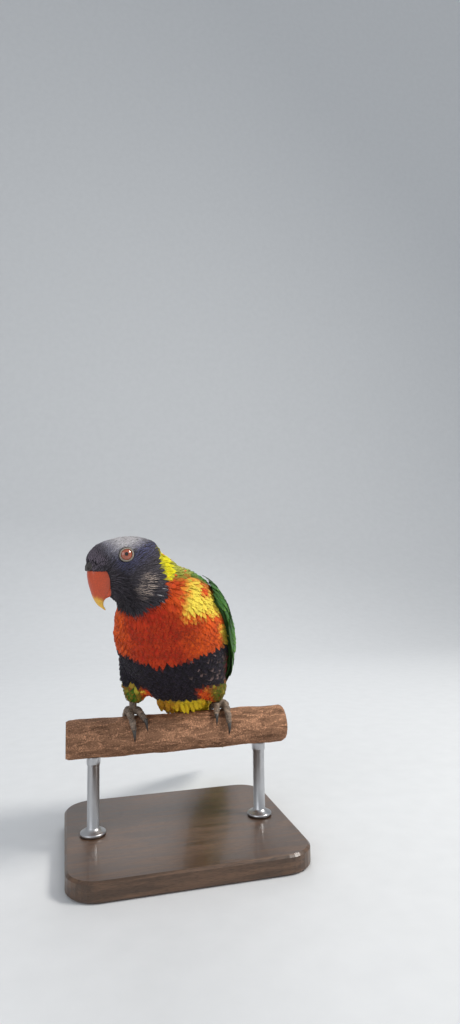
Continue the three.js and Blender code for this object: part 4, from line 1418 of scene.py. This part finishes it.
class LORIKEET_OT_wings(bpy.types.Operator):
    """Lays flight feathers and coverts over both folded wings"""

    bl_idname = "lorikeet.wings"
    bl_label = "Wings"

    def execute(self, context):
        for label, side in SIDES.items():
            wing = SimpleNamespace(
                label=label,
                side=side,
                looks=palette(context.scene.lorikeet_plumage),
                shell=Form(WING_SHELL),
                chance=np.random.default_rng(SEED + 3),
                material=material_named("feather_firm", feather_material, 0.5, 26.0, False),
            )
            core = self.core(wing)
            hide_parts("wing_" + label)
            for row in WING_ROWS:
                self.row(wing, *row)
            self.small_coverts(wing)
        return {"FINISHED"}

    def core(self, wing):
        """The smooth wing under the feathers, from the bend to past their roots."""
        k = np.linspace(0, 1, 40)[:, None]
        j = np.linspace(-1, 1, 25)[None, :]
        reach = mix(11, 80, k) + 0 * j
        degrees = wing.side * mix(mix(52, 22, k), mix(86, 96, k) - TUCK[wing.label], (j + 1) / 2)
        swell = (0.35 + 0.65 * np.sqrt(1 - j**4)) * np.minimum(1, 0.3 + 3 * k)
        top = wing.shell.point(reach, degrees, 0.2 + mix(2.2, 0.6, k) * swell)
        low = wing.shell.point(reach, degrees, -0.7)
        rings = np.concatenate((top, low[:, ::-1]), 1)
        values = {"tint": ("FLOAT_COLOR", with_alpha(np.broadcast_to(wing.looks.back_green, rings.shape)))}
        piece = ring_piece("wing_core_" + wing.label, rings, material_named("skin", skin_material), values)
        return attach(piece, "root")

    def join(self, wing, name, shape, grids, reach, place, tint):
        """The joined piece of one kind of feather."""
        count = len(grids)
        rim = np.tile(wing.looks.wing_rim, (count, 1))
        roots = np.stack((reach[:, 0], place[:, 0]), 1)
        patches = 0.03 + 0.94 * np.clip(roots / WING_MAP, 0, 1)
        each = wing.chance.uniform(size=count)
        name = name + "_" + wing.label
        return finish_feathers(name, shape, grids, tint, rim, each, patches, wing.material)

    def row(self, wing, name, count, root, tip, root_at, tip_at, wide, lift, kind):
        """One tier of long feathers."""
        chance, looks = wing.chance, wing.looks
        share = np.linspace(0, 1, count)
        tuck = TUCK[wing.label] * share
        reach = np.stack((mix(*root, share), mix(*tip, share) + chance.normal(0, 0.7, count)), 1)
        place = np.stack((mix(*root_at, share) - tuck, mix(*tip_at, share) - tuck), 1)
        tip_lift = lift[1] + chance.normal(0, 0.08, count)
        lifts = np.stack((np.full(count, lift[0]), tip_lift), 1)
        wides = wide * chance.uniform(0.94, 1.06, count)
        shape = VaneShape(np.linspace(0, 1, 18), 9)
        outline, dark = ((lambda u: pointed(u, 4.0)), 0.25) if kind == "flight" else (rounded, 0.0)
        grids = wing_grids(wing.shell, wing.side, shape, reach, place, wides, lifts, outline)
        tint = mix(looks.wing_green, looks.flight_dark, dark) * chance.uniform(0.85, 1.15, (count, 1))
        piece = self.join(wing, name, shape, grids, reach, place, tint)

    def small_coverts(self, wing):
        """Scale-like coverts over the shoulder, laid row by row from back to front."""
        chance = wing.chance
        reach, place, lifts, wides = [], [], [], []
        for r in range(COVERT_ROWS):
            k = r / (COVERT_ROWS - 1)
            rise = min(1, 1.6 * k)
            upper = mix(*COVERT_UPPER, k)
            lower = mix(*COVERT_LOWER, k) - TUCK[wing.label]
            count = int(round(mix(7, 12, k)))
            for i in range(count):
                degrees = mix(upper, lower, (i + 0.5 * (r % 2)) / (count - 0.5)) + chance.normal(0, 0.8)
                start = mix(*COVERT_REACH, k) + chance.normal(0, 0.7)
                long = COVERT_LENGTH * mix(0.62, 1.1, k) * chance.uniform(0.9, 1.1)
                reach.append((start, start + long))
                place.append((degrees, degrees - 1.5 * k))
                lifts.append((mix(0.5, 2.2, rise), mix(1.5, 3.6, rise) + chance.normal(0, 0.12)))
                wides.append(COVERT_WIDTH * mix(0.7, 1.1, k))
        shape = VaneShape(np.linspace(0, 1, 9), 9)
        reach, place = np.array(reach), np.array(place)
        sizes = (reach, place, wides, lifts)
        grids = wing_grids(wing.shell, wing.side, shape, *sizes, rounded, tilt=0.25, thick=0.25)
        tint = wing.looks.wing_green * chance.uniform(0.8, 1.25, (len(reach), 1))
        piece = self.join(wing, "small_coverts", shape, grids, reach, place, tint)


# The tail's root: reach, half width, half heights. Then its rows of coverts: start, length, count
TAIL_FLESH = ((-4, 6.8, 3.9, 4.8), (6, 7.4, 3.4, 4.4), (16, 6.4, 2.0, 3.0), (23, 4.6, 0.9, 1.6))
TAIL_COVERTS = ((-14, 28, 5), (-6, 30, 5), (4, 34, 6), (14, 30, 5))


class LORIKEET_OT_tail(bpy.types.Operator):
    """Builds the long pointed tail feathers with their coverts"""

    bl_idname = "lorikeet.tail"
    bl_label = "Tail"

    def execute(self, context):
        looks = palette(context.scene.lorikeet_plumage)
        chance = np.random.default_rng(SEED + 5)
        material = material_named("feather_firm", feather_material, 0.5, 26.0, False)
        core = self.core(looks)
        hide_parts("tail")

        def outline(u):
            return pointed(u, 2.6)

        specs = []
        for pair in range(6):
            for side in (-1, 1):
                long = TAIL_LONGEST - 9 * pair
                specs.append((side, 0, long, 0.8 + 1.5 * pair, 1.15 * pair + 0.3, -0.5 * pair, 9.2))
        specs = np.array(specs)
        green, pale = looks.wing_green * 1.15, looks.under_tail
        self.lay("tail_feathers", specs, 24, 9, outline, green, looks.wing_rim, chance, material)
        lower = specs - (0, 0, 1.2, 0, 0, 0.75, 0.6)
        self.lay("tail_under", lower, 20, 5, outline, pale, pale * 1.2, chance, material)
        upper, under = [], []
        for r, (start, long, count) in enumerate(TAIL_COVERTS):
            for across in np.linspace(-1, 1, count):
                end = start + long * (1 - 0.18 * abs(across))
                upper.append((1, start, end, 5 * across, 5.2 * across, 4.4 - 0.75 * r, 7.2))
            for across in np.linspace(-1, 1, 2 * count - 1):
                end = start + long * (1 - 0.18 * abs(across)) + chance.uniform(1, 5)
                drop = -5.2 + 0.45 * r + chance.uniform(-0.25, 0.25)
                under.append((1, start, end, 5 * across, 5.4 * across, drop, 4.8))
        self.lay("tail_coverts", upper, 12, 7, rounded, looks.back_green, looks.back_rim, chance, material)
        right = ramp(-np.array(under)[:, 4:5], -3.5, 1.5)
        yellow = mix(looks.vent_yellow, looks.vent_ochre, right)
        self.lay("vent_coverts", under, 12, 5, rounded, yellow, yellow * 1.1, chance, material)
        return {"FINISHED"}

    def core(self, looks):
        """The fleshy root of the tail, under its coverts."""
        rows = smooth_curve(TAIL_FLESH, np.linspace(0, 1, 16))
        angle = circle(28)
        left = rows[:, 1:2] * np.sin(angle)
        high = np.where(np.cos(angle) > 0, rows[:, 2:3], rows[:, 3:4]) * np.cos(angle)
        rings = tail_place(np.stack((left, rows[:, :1] + 0 * left, high), -1))
        tint = np.broadcast_to(looks.flight_dark, rings.shape)
        values = {"tint": ("FLOAT_COLOR", with_alpha(tint))}
        piece = ring_piece("tail_root", rings, material_named("skin", skin_material), values)
        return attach(piece, "root")

    def lay(self, name, specs, rows, columns, outline, tint, rim, chance, material):
        """Feathers in the tail's frame: side, start, end, splay in degrees, shift, drop and width of each."""
        count = len(specs)
        side, start, end, splay, shift, drop, wide = np.array(specs, float).T[:, :, None, None]
        shape = VaneShape(np.linspace(0, 1, rows), columns)
        u, v = shape.spread
        along = mix(start, end, u) + 0 * v
        across = shift + (along - start) * np.tan(np.radians(splay)) + v * wide * outline(u) / 2
        ridge = 0.35 * (1 - v**2) * (1 - 0.5 * u)
        bow = -0.06 * np.abs(across) + chance.normal(0, 0.15, (count, 1, 1)) * u
        grids = tail_place(np.stack((side * across, along, drop + bow + ridge), -1))
        tints = np.broadcast_to(tint, (count, 3)) * chance.uniform(0.85, 1.15, (count, 1))
        rims = np.broadcast_to(rim, (count, 3))
        map_across = 0.5 + 0.4 * np.tanh(side * (shift + 0.3) / 8)[:, 0, 0]
        map_along = 0.05 + 0.9 * (start[:, 0, 0] + 10) / 130 + 0.004 * np.arange(count)
        patches = np.stack((map_across, map_along), 1)
        each = chance.uniform(size=count)
        piece = finish_feathers(name, shape, grids, tints, rims, each, patches, material)


class LORIKEET_OT_bill(bpy.types.Operator):
    """Shapes the hooked bill, its lower half and the cere with its nostrils"""

    bl_idname = "lorikeet.bill"
    bl_label = "Bill"

    def execute(self, context):
        bare = context.scene.lorikeet_bare
        dark, bill, tip = colour4(bare.bill, 0.8), colour4(bare.bill), colour4(bare.bill_tip)
        horn = material_named("horn_upper", horn_material, dark, bill, tip, 0.25, 0.62, 0.3)
        upper = self.horn("bill_upper_horn", BILL_UPPER, 56, 48, horn, 0.35)
        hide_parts("bill_upper")
        lower_horn = material_named("horn_lower", horn_material, dark, bill, bill, 0.3, 0.95, 0.25)
        lower = self.horn("bill_lower_horn", BILL_LOWER, 32, 40, lower_horn, 0.1)
        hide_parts("bill_lower")
        dull, pale = (0.075, 0.062, 0.06, 1), (0.15, 0.125, 0.115, 1)
        skin = material_named("bare_cere", scaly_material, dull, pale, 3000.0, 0.5)
        cere = self.horn("cere_skin", CERE, 60, 96, skin, 0.0)
        self.sink_nostrils(cere)
        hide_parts("cere")
        return {"FINISHED"}

    def horn(self, name, stations, steps, sides, material, keel):
        """A closed horn between its ridge and its cutting edge, with a soft keel along the ridge."""
        t = np.linspace(0, 1, steps)
        ridge, edge, wide = (smooth_curve([np.atleast_1d(row[k]) for row in stations], t) for k in range(3))
        middle = (ridge + edge) / 2
        tall = ridge - edge
        high = np.linalg.norm(tall, axis=1, keepdims=True) / 2
        tall = unit(tall)
        angle = circle(sides)[None, :]
        rise = squared(np.cos(angle), BILL_SQUARE) * high
        sway = squared(np.sin(angle), BILL_SQUARE) * wide
        crest = keel * np.exp(-((np.sin(angle) / 0.25) ** 2)) * (np.cos(angle) > 0) * np.minimum(1, high / 3)
        flat = middle[:, None, :] + tall[:, None, :] * (rise - 0.5 * keel + crest)[..., None]
        section = np.concatenate((sway[..., None], flat), -1)
        rings = head(section)
        reach = np.broadcast_to(t[:, None], rings.shape[:2])
        # Where the horn lies behind the feathers' edge, painted dark as shade under them
        cover = ramp(over_bill(section), -0.3, 0.3) * (1 - ramp(flat[..., 0], 15.5, 16.5))
        piece = ring_piece(name, rings, material, {"reach": ("FLOAT", reach), "cover": ("FLOAT", cover)})
        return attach(piece, "root")

    def sink_nostrils(self, cere):
        """Presses the two round nostrils into the cere, each in a low raised rim."""
        points, _, normals = mesh_arrays(cere)
        for side in (-1, 1):
            place = head((side * NOSTRIL[0], NOSTRIL[1], NOSTRIL[2]))
            hole = points[np.argmin(np.linalg.norm(points - place, axis=1))]
            gap = np.linalg.norm(points - hole, axis=1) / MM
            depth = -1.3 * (1 - ramp(gap, 0.4, 0.95)) + 0.22 * np.exp(-(((gap - 1.3) / 0.35) ** 2))
            points = points + normals * (depth * MM)[:, None]
        cere.data.vertices.foreach_set("co", points.astype(np.float32).ravel())
        cere.data.update()


class LORIKEET_OT_eyes(bpy.types.Operator):
    """Sets both eyes with their bare rings"""

    bl_idname = "lorikeet.eyes"
    bl_label = "Eyes"

    def execute(self, context):
        bare = context.scene.lorikeet_bare
        wet = material_named("eye_wet", eye_material, bare.pupil, colour4(bare.iris), IRIS_RIM)
        tones = colour4(bare.eye_ring), colour4(bare.eye_ring, 1.25)
        ring_skin = material_named("eye_ring", scaly_material, *tones, 3600.0, 0.5)
        for label, side in SIDES.items():
            pose = np.array(eye_pose(side))
            ball = self.ball("eyeball_" + label, side, pose, wet)
            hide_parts("eye_" + label)
            lids = self.lids("eye_ring_" + label, side, np.array(eye_pose(side, 2.5)), ring_skin)
        return {"FINISHED"}

    def ball(self, name, side, pose, material):
        """A slightly flattened ball, with rings round its outward axis."""
        polar = np.linspace(0.02, math.pi - 0.02, 48)[:, None]
        turn = circle(48)[None, :]
        out = EYE_RADIUS * np.sin(polar) + 0 * turn
        axial = side * EYE_FLAT * EYE_RADIUS * np.cos(polar) + 0 * turn
        rings = round_pose(pose, axial, out, turn)
        spoke = 6 * np.abs(turn / math.pi - 1) + 0 * polar
        piece = ring_piece(name, rings, material, {"ring": ("FLOAT", out), "spoke": ("FLOAT", spoke)})
        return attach(piece, "root")

    def lids(self, name, side, pose, material):
        """The ring of bare skin, beaded, with its upper part drawn a little over the ball."""
        turn = circle(6 * EYE_BEADS)[:, None]
        tube = circle(20)[None, :]
        thick = 0.44 * (1 + 0.1 * np.cos(EYE_BEADS * turn))
        brow = ramp(np.sin(turn), 0.1, 1.0)
        out = EYE_RING - 0.45 * brow + thick * np.cos(tube)
        lean = -0.35 * np.cos(tube) + 0.2 * brow + 0.5 * thick * np.sin(tube)
        points = round_pose(pose, side * lean, out, turn)
        rings, sides = points.shape[:2]
        faces = []
        for r in range(rings):
            for i in range(sides):
                j = (i + 1) % sides
                n = (r + 1) % rings
                quad = (r * sides + i, r * sides + j, n * sides + j, n * sides + i)
                faces.append(quad if side > 0 else quad[::-1])
        piece = new_piece(name, points, faces, material)
        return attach(piece, "root")


def on_perch(x, degrees, radius):
    """A point round the perch: x along it and degrees from its top towards the front, in mm."""
    angle = np.radians(degrees)
    return np.stack((x + 0 * angle, -radius * np.sin(angle), radius * np.cos(angle)), -1) * MM + PERCH_POINT


def tube(points, radii, sides):
    """Rings round a path, with radii given for each ring or for each point of each ring."""
    along = unit(np.gradient(points, axis=0))
    across = unit(np.array((1.0, 0, 0)) - along[:, :1] * along)
    outward = np.cross(along, across)
    angle = circle(sides)
    radii = np.broadcast_to(np.asarray(radii, float).reshape(len(points), -1), (len(points), sides)) * MM
    wide = (radii * np.cos(angle))[..., None] * across[:, None]
    high = (radii * np.sin(angle))[..., None] * outward[:, None]
    return points[:, None] + wide + high


class LORIKEET_OT_feet(bpy.types.Operator):
    """Builds shanks, scaly toes and claws that grip the perch"""

    bl_idname = "lorikeet.feet"
    bl_label = "Feet"

    def execute(self, context):
        bare = context.scene.lorikeet_bare
        tones = colour4(bare.foot), colour4(bare.foot, 1.9)
        scales = material_named("scaly_foot", scaly_material, *tones, 900.0, 0.5)
        greys = (0.09, 0.08, 0.07, 1), (0.035, 0.03, 0.027, 1), (0.012, 0.011, 0.01, 1)
        claw = material_named("horn_claw", horn_material, *greys, 0.4, 0.5, 0.25)
        for foot, (x, swing) in FEET.items():
            self.shank(foot, x, scales)
            for toe, spec in TOES.items():
                self.toe(foot, toe, x, swing, spec, scales)
                self.claw(foot, toe, x, swing, spec, claw)
        return {"FINISHED"}

    def shank(self, foot, x, material):
        """The short shank, flaring into the pad that the toes leave."""
        t = np.linspace(0, 1, 40)[:, None]
        low = np.array((x, 0, PERCH_RADIUS + PERCH_BUMP + GAP + 0.2))
        high = np.array((x, 3, 24.0))
        path = mix(low, high, t) * MM + PERCH_POINT
        taper = 0.02 * np.round(t * SHANK_SCUTES)
        ridge = 0.14 * np.cos(2 * math.pi * t * SHANK_SCUTES)
        sides = 28
        flare = np.exp(-((t / 0.3) ** 2)) * (2.4 + 1.1 * np.cos(2 * circle(sides)[None, :]))
        radii = 2.25 + taper + ridge + flare - 1.4 * np.exp(-((t / 0.06) ** 2))
        piece = ring_piece("shank_" + foot, tube(path, radii, sides), material)
        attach(piece, "root")
        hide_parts("foot_" + foot)

    def toe(self, foot, toe, x, swing, spec, material):
        """A toe of plump joints, with scutes across its upper side and pads beneath."""
        start, turn, _, drift, girth = spec
        side = -SIDES[foot]
        t = np.linspace(0, 1, 54)
        body = girth * mix(1, 0.74, t) * (1 + 0.09 * np.cos(6 * math.pi * t)) * (1 - 0.5 * ramp(t, 0.93, 1.0))
        across = x + side * (start + (drift + swing) * t)
        path = on_perch(across, mix(*turn, t), PERCH_RADIUS + PERCH_BUMP + GAP + body)
        sides = 22
        angle = circle(sides)[None, :]
        way = np.sign(turn[1])
        upper = np.clip(-way * np.sin(angle), 0, 1)
        scute = 0.16 * ((t * TOE_SCUTES) % 1.0 - 0.5)[:, None] * upper
        pads = 0.12 * np.cos(2 * math.pi * 5 * t)[:, None] * (1 - upper)
        radii = body[:, None] * (0.97 + 0.6 * scute) + 0.5 * pads
        piece = ring_piece("toe_skin_%s_%s" % (foot, toe), tube(path, radii, sides), material)
        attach(piece, "root")
        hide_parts("toe_%s_%s" % (foot, toe))

    def claw(self, foot, toe, x, swing, spec, material):
        """A curved claw with a ridge above and a flatter underside."""
        start, turn, end, drift, _ = spec
        side = -SIDES[foot]
        way = np.sign(end)
        t = np.linspace(0, 1, 26)
        girth = mix(1.62, 0.16, t**0.9)
        across = x + side * (start + (drift + swing) * (1 + 0.25 * t))
        height = girth + 1.2 * np.sin(math.pi * np.minimum(1, 0.25 + 0.75 * t))
        path = on_perch(across, mix(turn[1] + 1.5 * way, end, t), PERCH_RADIUS + PERCH_BUMP + GAP + height)
        sides = 18
        angle = circle(sides)[None, :]
        ridge = 1 + 0.12 * np.clip(-way * np.sin(angle), 0, 1) ** 6 - 0.1 * np.cos(angle) ** 2
        rings = tube(path, girth[:, None] * ridge, sides)
        reach = np.broadcast_to(t[:, None], rings.shape[:2])
        piece = ring_piece("claw_horn_%s_%s" % (foot, toe), rings, material, {"reach": ("FLOAT", reach)})
        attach(piece, "root")
        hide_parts("claw_%s_%s" % (foot, toe))


class LORIKEET_OT_perch(bpy.types.Operator):
    """Covers the cut branch with rough bark, and finishes its sawn ends"""

    bl_idname = "lorikeet.perch"
    bl_label = "Perch"

    def execute(self, context):
        looks = context.scene.lorikeet_perch
        length = (PERCH_HIGH.x - PERCH_LOW.x) / MM
        rings, sides = 260, 120
        share = np.linspace(0, 1, rings)[:, None]
        degrees = np.linspace(0, 360, sides, endpoint=False)[None, :]
        x = length * (share - 0.5) + 0 * degrees
        wave = np.sin(0.11 * x + np.radians(2 * degrees)) * np.cos(0.07 * x - np.radians(degrees))
        relief = self.relief(x, degrees)
        end = 0.9 * np.exp(-(((length / 2 - np.abs(x)) / 1.2) ** 2))
        depth = looks.relief / MM
        radius = PERCH_RADIUS + PERCH_BUMP * wave + depth * (relief - 0.75) - end
        grid = on_perch(x, degrees + 0 * share, radius)
        browns = (colour4(looks.bark, share) for share in (0.45, 1.0, 2.3))
        bark = material_named("rough_bark", bark_material, *browns)
        piece = ring_piece("perch_bark", grid, bark, {"relief": ("FLOAT", relief)})
        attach(piece, "root")
        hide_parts("perch")
        ends = material_named("end_grain", end_grain_material, (0.2, 0.12, 0.07, 1), (0.34, 0.23, 0.14, 1))
        piece.data.materials.append(ends)
        centre = rings * sides
        for polygon in piece.data.polygons:
            if max(polygon.vertices) >= centre:
                polygon.material_index = 1
                polygon.use_smooth = False
        return {"FINISHED"}

    def relief(self, x, degrees):
        """Bark plates and cracks that run along the branch, from 0 in a crack to 1 on a crest."""
        angle = np.radians(degrees)
        around = PERCH_RADIUS * np.stack((np.sin(angle) + 0 * x, np.cos(angle) + 0 * x), -1)
        value = np.zeros(x.shape)
        for i in range(x.shape[0]):
            for j in range(x.shape[1]):
                spot = Vector((0.075 * x[i, j], 0.26 * around[i, j, 0], 0.26 * around[i, j, 1]))
                ridge = 1 - abs(noise.noise(spot))
                value[i, j] = 0.65 * ridge**2 + 0.35 * (0.5 + 0.5 * noise.noise(spot * 3.1))
        return value


# Outline of a rod's turned foot and of its cup: metres from its end, and girth as a share of the rod's
ROD_FOOT = ((0, 2.1), (0.0016, 2.1), (0.0021, 1.95), (0.003, 1.35), (0.0042, 1.1), (0.0048, 1.0))
ROD_CUP = ((0.006, 1.0), (0.0054, 1.1), (0.0046, 1.14), (0.001, 1.14), (0, 1.1))
# How far the cup reaches up past the bottom of the perch, in mm
CUP_REACH = 1.2


class LORIKEET_OT_stand(bpy.types.Operator):
    """Finishes the stand's base and rods"""

    bl_idname = "lorikeet.stand"
    bl_label = "Stand"

    def execute(self, context):
        wood = context.scene.lorikeet_perch.wood
        oiled = material_named("oiled_wood", stand_wood_material, colour4(wood), colour4(wood, 1.9))
        base = frame["nodes"]["stand_base"]
        base.data.materials.clear()
        base.data.materials.append(oiled)
        metal = material_named("brushed_rod", rod_material)
        for label in ("left", "right"):
            self.rod(label, metal)
        return {"FINISHED"}

    def rod(self, label, material):
        """A round rod with a turned collar at its foot and a shallow cup under the perch."""
        low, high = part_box("stand_rod_" + label)
        x, y = (low.x + high.x) / 2, (low.y + high.y) / 2
        radius = (high.x - low.x) / 2
        top = PERCH_HEIGHT - (PERCH_RADIUS - CUP_REACH) * MM
        profile = [(low.z + rise, girth) for rise, girth in ROD_FOOT]
        profile += [(top - drop, girth) for drop, girth in ROD_CUP]
        rings = [
            [(x + radius * girth * math.cos(a), y + radius * girth * math.sin(a), z) for a in circle(56)]
            for z, girth in profile
        ]
        piece = ring_piece("rod_" + label, rings, material)
        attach(piece, "root")
        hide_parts("stand_rod_" + label)


# Camera: its place from the perch's axis in metres, then how far it looks right, up and rolls
CAMERA_PLACE = (-0.0772, -0.4326, 0.1096)
CAMERA_YAW = math.radians(15)
CAMERA_PITCH = math.radians(5.35)
CAMERA_ROLL = math.radians(0.8)
# Floor and backdrop in metres: half width, way to the front, way to the back, radius of the bend, height
FLOOR = (7.0, 7.0, 1.6, 0.8, 4.0)
# Soft round lamps: place, size, which strength, and colour
LAMPS = {
    "key": ((0.85, -0.42, 1.05), 0.4, "key", (1.0, 0.97, 0.92)),
    "fill": ((-0.9, -0.8, 0.6), 0.9, "fill", (0.92, 0.96, 1.0)),
    "back": ((0.2, 0.9, 0.9), 0.6, "fill", (1.0, 1.0, 1.0)),
}


class LORIKEET_OT_stage(bpy.types.Operator):
    """Sets the camera, the pale floor and the soft studio light"""

    bl_idname = "lorikeet.stage"
    bl_label = "Stage"

    def execute(self, context):
        looks = context.scene.lorikeet_stage
        self.camera(context, looks)
        self.floor()
        self.lights(context, looks)
        return {"FINISHED"}

    def camera(self, context, looks):
        """The photograph's viewpoint: in front, a little to the bird's left, just under level."""
        data = bpy.data.cameras.new("camera")
        data.sensor_fit = "VERTICAL"
        data.sensor_height = 24
        data.lens = looks.focal
        data.clip_start = 0.01
        camera = bpy.data.objects.new("camera", data)
        context.scene.collection.objects.link(camera)
        turn = Euler((math.pi / 2 + CAMERA_PITCH, 0, -CAMERA_YAW), "XYZ").to_matrix()
        turn = turn @ Matrix.Rotation(-CAMERA_ROLL, 3, "Z")
        x, y, z = CAMERA_PLACE
        camera.matrix_world = Matrix.Translation((x, y, z + PERCH_HEIGHT)) @ turn.to_4x4()
        context.scene.camera = camera

    def floor(self):
        """A pale floor that runs up into a backdrop in one soft curve."""
        half, front, depth, bend, high = FLOOR
        profile = [(-front, 0.0), (depth - bend, 0.0)]
        for k in range(1, 25):
            a = math.pi / 2 * k / 24
            profile.append((depth - bend + bend * math.sin(a), bend - bend * math.cos(a)))
        profile.append((depth, high))
        points = [(x, y, z) for y, z in profile for x in (-half, half)]
        faces = [(k, k + 1, k + 3, k + 2) for k in range(0, 2 * len(profile) - 2, 2)]
        material = material_named("studio_paper", paper_material)
        new_piece("floor", points, faces, material)

    def lights(self, context, looks):
        """A key from the upper right front, a broad fill from the left, and a weak rim from behind."""
        target = Vector((0.0, 0.0, PERCH_HEIGHT + 0.06))
        for name, (place, size, strength, colour) in LAMPS.items():
            data = bpy.data.lights.new(name, "AREA")
            data.shape = "DISK"
            data.size = size
            data.energy = getattr(looks, strength)
            data.color = colour
            light = bpy.data.objects.new(name, data)
            light.location = place
            light.rotation_euler = (target - Vector(place)).to_track_quat("-Z", "Y").to_euler()
            context.scene.collection.objects.link(light)
        context.scene.view_settings.view_transform = "Standard"
        world = bpy.data.worlds.new("studio")
        world.use_nodes = True
        sky = world.node_tree.nodes["Background"]
        sky.inputs["Color"].default_value = (0.86, 0.9, 0.95, 1)
        sky.inputs["Strength"].default_value = 0.55
        context.scene.world = world


STEPS = (
    LORIKEET_OT_stage,
    LORIKEET_OT_skin,
    LORIKEET_OT_bill,
    LORIKEET_OT_eyes,
    LORIKEET_OT_coat,
    LORIKEET_OT_wings,
    LORIKEET_OT_tail,
    LORIKEET_OT_feet,
    LORIKEET_OT_perch,
    LORIKEET_OT_stand,
)


class LORIKEET_PT_panel(bpy.types.Panel):
    """Lists the pieces, their colours and sizes"""

    bl_label = "Lorikeet"
    bl_space_type = "VIEW_3D"
    bl_region_type = "UI"
    bl_category = "Lorikeet"

    def draw(self, context):
        for step in STEPS:
            self.layout.operator(step.bl_idname)
        for name in GROUPS:
            looks = getattr(context.scene, name)
            for key in looks.__annotations__:
                self.layout.prop(looks, key)


GROUPS = {
    "lorikeet_plumage": PlumageLooks,
    "lorikeet_bare": BareLooks,
    "lorikeet_perch": PerchLooks,
    "lorikeet_stage": StageLooks,
}


def register():
    for group in (*GROUPS.values(), *STEPS, LORIKEET_PT_panel):
        bpy.utils.register_class(group)
    for name, group in GROUPS.items():
        setattr(bpy.types.Scene, name, PointerProperty(type=group))


def unregister():
    for name in GROUPS:
        delattr(bpy.types.Scene, name)
    for group in (LORIKEET_PT_panel, *reversed(STEPS), *reversed(GROUPS.values())):
        bpy.utils.unregister_class(group)


def main():
    register()
    for step in STEPS:
        group, name = step.bl_idname.split(".")
        getattr(getattr(bpy.ops, group), name)()


if __name__ == "__main__":
    main()
